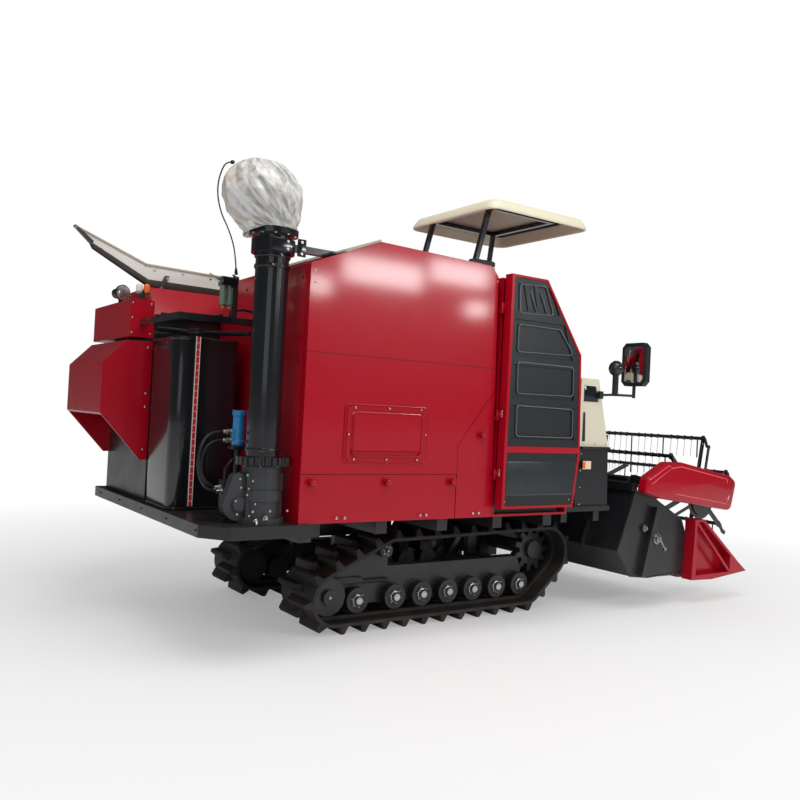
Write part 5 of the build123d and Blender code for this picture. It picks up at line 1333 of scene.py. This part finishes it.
class HARVESTER_OT_station(Operator):
    """Furnish the operator's station: canopy, console, mirrors and lamps"""

    bl_idname = "harvester.station"
    bl_label = "Operator Station"

    def execute(self, context):
        shell = Shape()
        edge = rounded([(-260, -1050), (690, -1050), (690, -60), (-260, -60)], 95, 8)
        # rows: height, share of the roof's outline
        outside = [(2852, 0.975), (2849, 0.99), (2854, 1.0), (2866, 1.0), (2904, 0.965), (2924, 0.935), (2932, 0.84),
                   (2934.5, 0.45)]
        inside = [(2922.5, 0.9), (2898, 0.94), (2858, 0.96)]
        rows = [[(a, b, height) for a, b in scaled(edge, canopy_middle, share, share)]
                for height, share in inside + outside]
        shell.add([point for one in rows for point in one], skin(len(rows), len(edge)) + lids(len(rows), len(edge)))
        shell = shell.make("canopy_shell", "white_plastic", smooth=50)
        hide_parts("canopy_roof")
        liner = Shape()
        liner.plate(scaled(edge, canopy_middle, 0.88, 0.88), "z", 2921, 2922.5, 1)
        liner.make("canopy_liner", "liner_plastic")
        rails = Shape()
        loop = rounded([(-170, -900), (560, -900), (560, -190), (-170, -190)], 60)
        rails.pipe([(a, b, 2909) for a, b in closed(loop)], 11)
        rails.make("canopy_rails", "frame_paint")
        self.console()
        self.mirror()
        return {"FINISHED"}

    def console(self):
        """The console's window, trim, blank plate and bolts, the levers' knobs, the beacon and the head lamp."""
        side = -1059
        dark = Shape()
        dark.plate([(690, 1585), (690, 1702), (812, 1702), (845, 1585)], "y", -1064.5, side, 2)
        dark.make("console_window", "dark_glass")
        trim = Shape()
        trim.plate([(690, 1290), (690, 1505), (712, 1505), (722, 1290)], "y", -1063, side, 2)
        trim.plate([(680, 1236), (680, 1252), (979, 1252), (983, 1236)], "y", -1084, side, 2)
        for x, y, z in ((700, -495, 1906), (720, -415, 1876)):
            trim.post((x, y), z - 18, z + 24, [(0, 8), (0.2, 17), (0.6, 20), (0.9, 14), (1, 5)], 20)
        trim.make("console_trim", "black_plastic")
        Shape().box((688, 776), (-1082, -1079.6), (1086, 1146), 1).make("blank_plate", "blank_plate", smooth=0)
        amber = Shape()
        amber.box((688, 716), (-1083, -1082), (1092, 1140))
        amber.post((780, -820), 1756, 1822, [(0, 24), (0.15, 24), (0.2, 21.5), (0.85, 21), (1, 14)], 20)
        amber.make("console_beacon", "amber_plastic")
        Shape().box((862, 892), (-900, -640), (1600, 1690), 8).make("head_lamp_case", "black_plastic")
        Shape().box((890, 897), (-890, -650), (1609, 1681), 4).make("head_lamp_glass", "clear_glass")
        edge = row((668, -1081, 1200), (668, -1081, 830), 4, RIGHT, 0.7)
        edge += row((700, -1061, 1275), (950, -1061, 1275), 3, RIGHT, 0.6)
        fasten("console_bolts", edge, rivet_tree, "zinc", Radius=0.009, Rise=0.5)

    def mirror(self):
        """The mirror head's glass and frame, and the back of the round mirror."""
        x, y, z = 1150, -1125, 1890
        outline = rounded([(y - 102, z - 150), (y - 102, z + 150), (y + 102, z + 150), (y + 102, z - 150)], 42, 5)
        Shape().plate(scaled(outline, (y, z), 0.91, 0.94), "x", x - 3.5, x - 1, 1).make("mirror_pane", "mirror_glass")
        casing = Shape()
        outer, inner = scaled(outline, (y, z), 1.04, 1.03), scaled(outline, (y, z), 0.90, 0.93)
        rows = [(x - 7, outer), (x - 9, inner), (x + 12, inner), (x + 12, outer), (x - 7, outer)]
        casing.add([(depth, *pair) for depth, loop in rows for pair in loop], skin(len(rows), len(outline)), 2)
        casing.plate(scaled(outline, (y, z), 0.9, 0.9), "x", x + 45, x + 58, 6)
        casing.make("mirror_frame", "black_plastic")
        steps, reach, radius = 12, Vector((50, 0, 0)), 59
        profile = [((1 - cos(pi * k / steps)) / 2, max(radius * sin(pi * k / steps), 1)) for k in range(steps + 1)]
        ball = Shape()
        middle = Vector((1010, -1075, 1850))
        ball.turned(middle - reach, middle + reach, profile, 36)
        ball.make("round_mirror_back", "dark_paint")


reel_middle = (2160, 900)  # x and z
reel_reach = 450  # from its middle to the bats' tubes
reel_bats = 6
reel_turn = 20  # degrees from ahead to the first bat
reel_spiders = (-1004, 52, 1107)  # their places across


def on_reel(bat, share, y):
    """A point on the way from the reel's middle to a bat."""
    turn = radians(reel_turn + 360 / reel_bats * bat)
    x, z = reel_middle
    return Vector((x + reel_reach * share * cos(turn), y, z + reel_reach * share * sin(turn)))


class HARVESTER_OT_header(Operator):
    """Fit the header's bearing and beads, the reel's cover and bolts, and the tines"""

    bl_idname = "harvester.header"
    bl_label = "Header"

    def execute(self, context):
        shaft, ridge_side, bead_side = (1483, 553), -1203, -1106
        steel = Shape()
        steel.boss(shaft, -1150, -1186, [
            (0, 46), (0.25, 46), (0.3, 32), (0.75, 30), (0.8, 17), (1, 15)], 28)
        steel.boss((1374, 632), -1113, -1140, [(0, 26), (0.5, 26), (0.55, 16), (1, 14)], 24)
        steel.pipe([(1500, -1172, 545), (1560, -1172, 470)], 9)
        steel.boss((1560, 470), -1164, -1180, [(0, 15), (1, 15)], 16)
        steel.make("header_bearing", "bare_steel", "header")
        fasten("header_bolts", ring((1483, -1152, 553), RIGHT, 54, 4, 0.9), bolt_tree, "frame_paint", "header",
               Head_Radius=0.006, Washer_Radius=0.009)
        fasten("reel_arm_bolts", ring((1330, -1186, 1000), RIGHT, 26, 4, 0.9), bolt_tree, "frame_paint",
               "reel_lift_arms")
        cover = Shape()
        outline = rounded([
            (1265, 935), (1290, 1035), (1520, 1151), (1694, 1152), (2344, 1044), (2430, 990), (2366, 753), (1442, 870),
            (1275, 915)], 60)
        cover.plate(outline, "y", -1205, -1113, 16)
        cover = cover.make("reel_cover_shell", "red_paint", "reel_lift_arms", 50)
        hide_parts("reel_cover")
        # the ridges are beads in a light red, a painted highlight along the cover's folds
        ridges = Shape()
        for line in (((1560, 1105), (1680, 1118), (2290, 1018), (2300, 985)),
                     ((1620, 905), (2290, 815), (2330, 880))):
            ridges.bead(line, ridge_side, 6)
        ridges.bead([(1300, 1015), (1530, 1128), (1560, 1105), (1330, 985)], ridge_side, 5)
        ridges.make("reel_cover_ridges", "red_edge", "reel_lift_arms")
        beads = Shape()
        for line in (((1260, 926), (1084, 470), (1237, 268), (1440, 244), (1880, 256)),
                     ((1900, 560), (1840, 683), (1420, 896), (1262, 926))):
            beads.bead(line, bead_side, 6)
        beads.make("header_beads", "dark_paint", "header")
        Shape().box((2120, 2200), (-1160, -1146), (880, 920), 4).make("reel_bearing", "bare_steel", "reel_lift_arms")
        spider = []
        for y in reel_spiders:
            for bat in range(reel_bats):
                for share in (0.2, 0.9):
                    spider += spot(on_reel(bat, share, y), RIGHT, 0.8)
        fasten("spider_bolts", spider, bolt_tree, "zinc", "reel_rotor")
        first, pitch, places, skipped = -943, 70, range(1, 30), 5  # every fifth has its tine in the CAD
        for bat in range(reel_bats):
            tines = [on_reel(bat, 1, first + pitch * n) * MM for n in places if n % skipped]
            grow(f"tines_{bat + 1}", tine_tree, tines, {}, {"Wire": 0.0019, "Coil": 0.0178}, "tine_wire",
                 f"bat_{bat + 1}")
        return {"FINISHED"}


class HARVESTER_OT_stage(Operator):
    """Set up the floor, the lamps, the sky and the camera"""

    bl_idname = "harvester.stage"
    bl_label = "Stage"

    def execute(self, context):
        stage = context.scene.harvester_stage
        self.camera(stage)
        self.floor()
        self.lamps(stage)
        self.sky(stage)
        context.scene.view_settings.view_transform = "Standard"
        return {"FINISHED"}

    def camera(self, stage):
        """The camera, from its heading, tilt and roll."""
        ahead = Vector((cos(stage.tilt) * cos(stage.heading), cos(stage.tilt) * sin(stage.heading), sin(stage.tilt)))
        right = Vector((sin(stage.heading), -cos(stage.heading), 0.0))
        up = right.cross(ahead)
        turned_right = right * cos(stage.roll) + up * sin(stage.roll)
        turned_up = up * cos(stage.roll) - right * sin(stage.roll)
        data = bpy.data.cameras.new("camera")
        data.lens = stage.lens
        data.sensor_width = 36.0
        made = put("camera", data)
        turn = Matrix((turned_right, turned_up, -ahead)).transposed()
        made.matrix_world = Matrix.Translation(Vector(stage.place)) @ turn.to_4x4()
        bpy.context.scene.camera = made

    def floor(self):
        """A pale floor that keeps the shadow and meets the backdrop without a line."""
        near, far, least = 2.6, 6.5, 0.30
        tree = base_material("floor", Base_Color=(*linear(246, 246, 246), 1.0), Roughness=0.7,
                             Specular_IOR_Level=0.2)[0]
        away = add_node(tree, "ShaderNodeVectorMath", {0: object_place(tree)}, operation="LENGTH").outputs["Value"]
        share = map_range(tree, away, near, far, least, 1.0)
        rays = add_node(tree, "ShaderNodeLightPath").outputs
        seen = math_node(tree, "MAXIMUM", rays["Is Camera Ray"], rays["Is Transmission Ray"])
        end = tree.nodes["Material Output"].inputs["Surface"]
        dull, white = end.links[0].from_socket, add_node(tree, "ShaderNodeEmission").outputs[0]
        tree.links.new(mix_shaders(tree, math_node(tree, "MULTIPLY", seen, share), dull, white), end)
        half = 60.0
        floor = object_from("floor", [(-half, -half, 0), (half, -half, 0), (half, half, 0), (-half, half, 0)],
                            [(0, 1, 2, 3)], "floor")

    def lamps(self, stage):
        """A large lamp overhead, a fill, and three soft boxes that the gloss shows."""
        lamps = [
            ("key", (-1.5, -2.5, 6.0), 5.0, 3.5, stage.key_power, (0.0, 0.0, 1.2)),
            ("fill", (-6.0, -6.5, 3.0), 4.0, 2.8, stage.fill_power, (0.0, 0.0, 1.2)),
        ]
        # columns: place along the machine, height, width, depth
        boxes = ((1.12, 3.00, 0.36, 0.24), (2.10, 3.28, 1.25, 0.34), (3.40, 3.45, 1.05, 0.30), (3.72, 2.98, 0.40, 0.22))
        for k, (x, z, wide, high) in enumerate(boxes):
            lamps.append((f"box_{k + 1}", (x, -6.2, z), wide, high, stage.box_power * wide * high, (x, 0.0, z)))
        for name, place, wide, high, power, target in lamps:
            data = bpy.data.lights.new(name, "AREA")
            data.shape = "RECTANGLE"
            data.size = wide
            data.size_y = high
            data.energy = power
            made = put(name, data)
            made.location = place
            made.rotation_mode = "QUATERNION"
            made.rotation_quaternion = (Vector(target) - Vector(place)).to_track_quat("-Z", "Y")

    def sky(self, stage):
        """Even light, seen as white by the camera and through glass, and softer in reflections."""
        world = bpy.data.worlds.new("sky")
        bpy.context.scene.world = world
        world.use_nodes = True
        tree = world.node_tree
        tree.nodes.clear()
        light, seen, shown = (
            add_node(tree, "ShaderNodeBackground", {"Color": (1.0, 1.0, 1.0, 1.0), "Strength": strength}).outputs[0]
            for strength in (stage.sky, 1.0, stage.reflected)
        )
        rays = add_node(tree, "ShaderNodeLightPath").outputs
        either = math_node(tree, "MAXIMUM", rays["Is Camera Ray"], rays["Is Transmission Ray"])
        others = mix_shaders(tree, rays["Is Glossy Ray"], light, shown)
        add_node(tree, "ShaderNodeOutputWorld", {"Surface": mix_shaders(tree, either, others, seen)})


class HARVESTER_PT_panel(Panel):
    """The dressing's panel in the sidebar"""

    bl_label = "Harvester"
    bl_idname = "HARVESTER_PT_panel"
    bl_space_type = "VIEW_3D"
    bl_region_type = "UI"
    bl_category = "Harvester"

    def draw(self, context):
        layout = self.layout
        for settings in (context.scene.harvester_finish, context.scene.harvester_sizes, context.scene.harvester_stage):
            column = layout.column()
            for name in settings.bl_rna.properties.keys():
                if name not in ("rna_type", "name"):
                    column.prop(settings, name)
        for operator in operators:
            layout.operator(operator.bl_idname)


operators = (
    HARVESTER_OT_finishes,
    HARVESTER_OT_stage,
    HARVESTER_OT_cords,
    HARVESTER_OT_bag,
    HARVESTER_OT_seat,
    HARVESTER_OT_running_gear,
    HARVESTER_OT_body_panels,
    HARVESTER_OT_door,
    HARVESTER_OT_rear,
    HARVESTER_OT_auger,
    HARVESTER_OT_station,
    HARVESTER_OT_header,
)
settings_classes = (FinishSettings, StageSettings, SizeSettings)
classes = (*settings_classes, *operators, HARVESTER_PT_panel)


def register():
    for item in classes:
        bpy.utils.register_class(item)
    bpy.types.Scene.harvester_finish = PointerProperty(type=FinishSettings)
    bpy.types.Scene.harvester_stage = PointerProperty(type=StageSettings)
    bpy.types.Scene.harvester_sizes = PointerProperty(type=SizeSettings)


def unregister():
    del bpy.types.Scene.harvester_sizes
    del bpy.types.Scene.harvester_stage
    del bpy.types.Scene.harvester_finish
    for item in reversed(classes):
        bpy.utils.unregister_class(item)


def main():
    register()
    for operator in operators:
        group, name = operator.bl_idname.split(".")
        getattr(getattr(bpy.ops, group), name)()


if __name__ == "__main__":
    main()
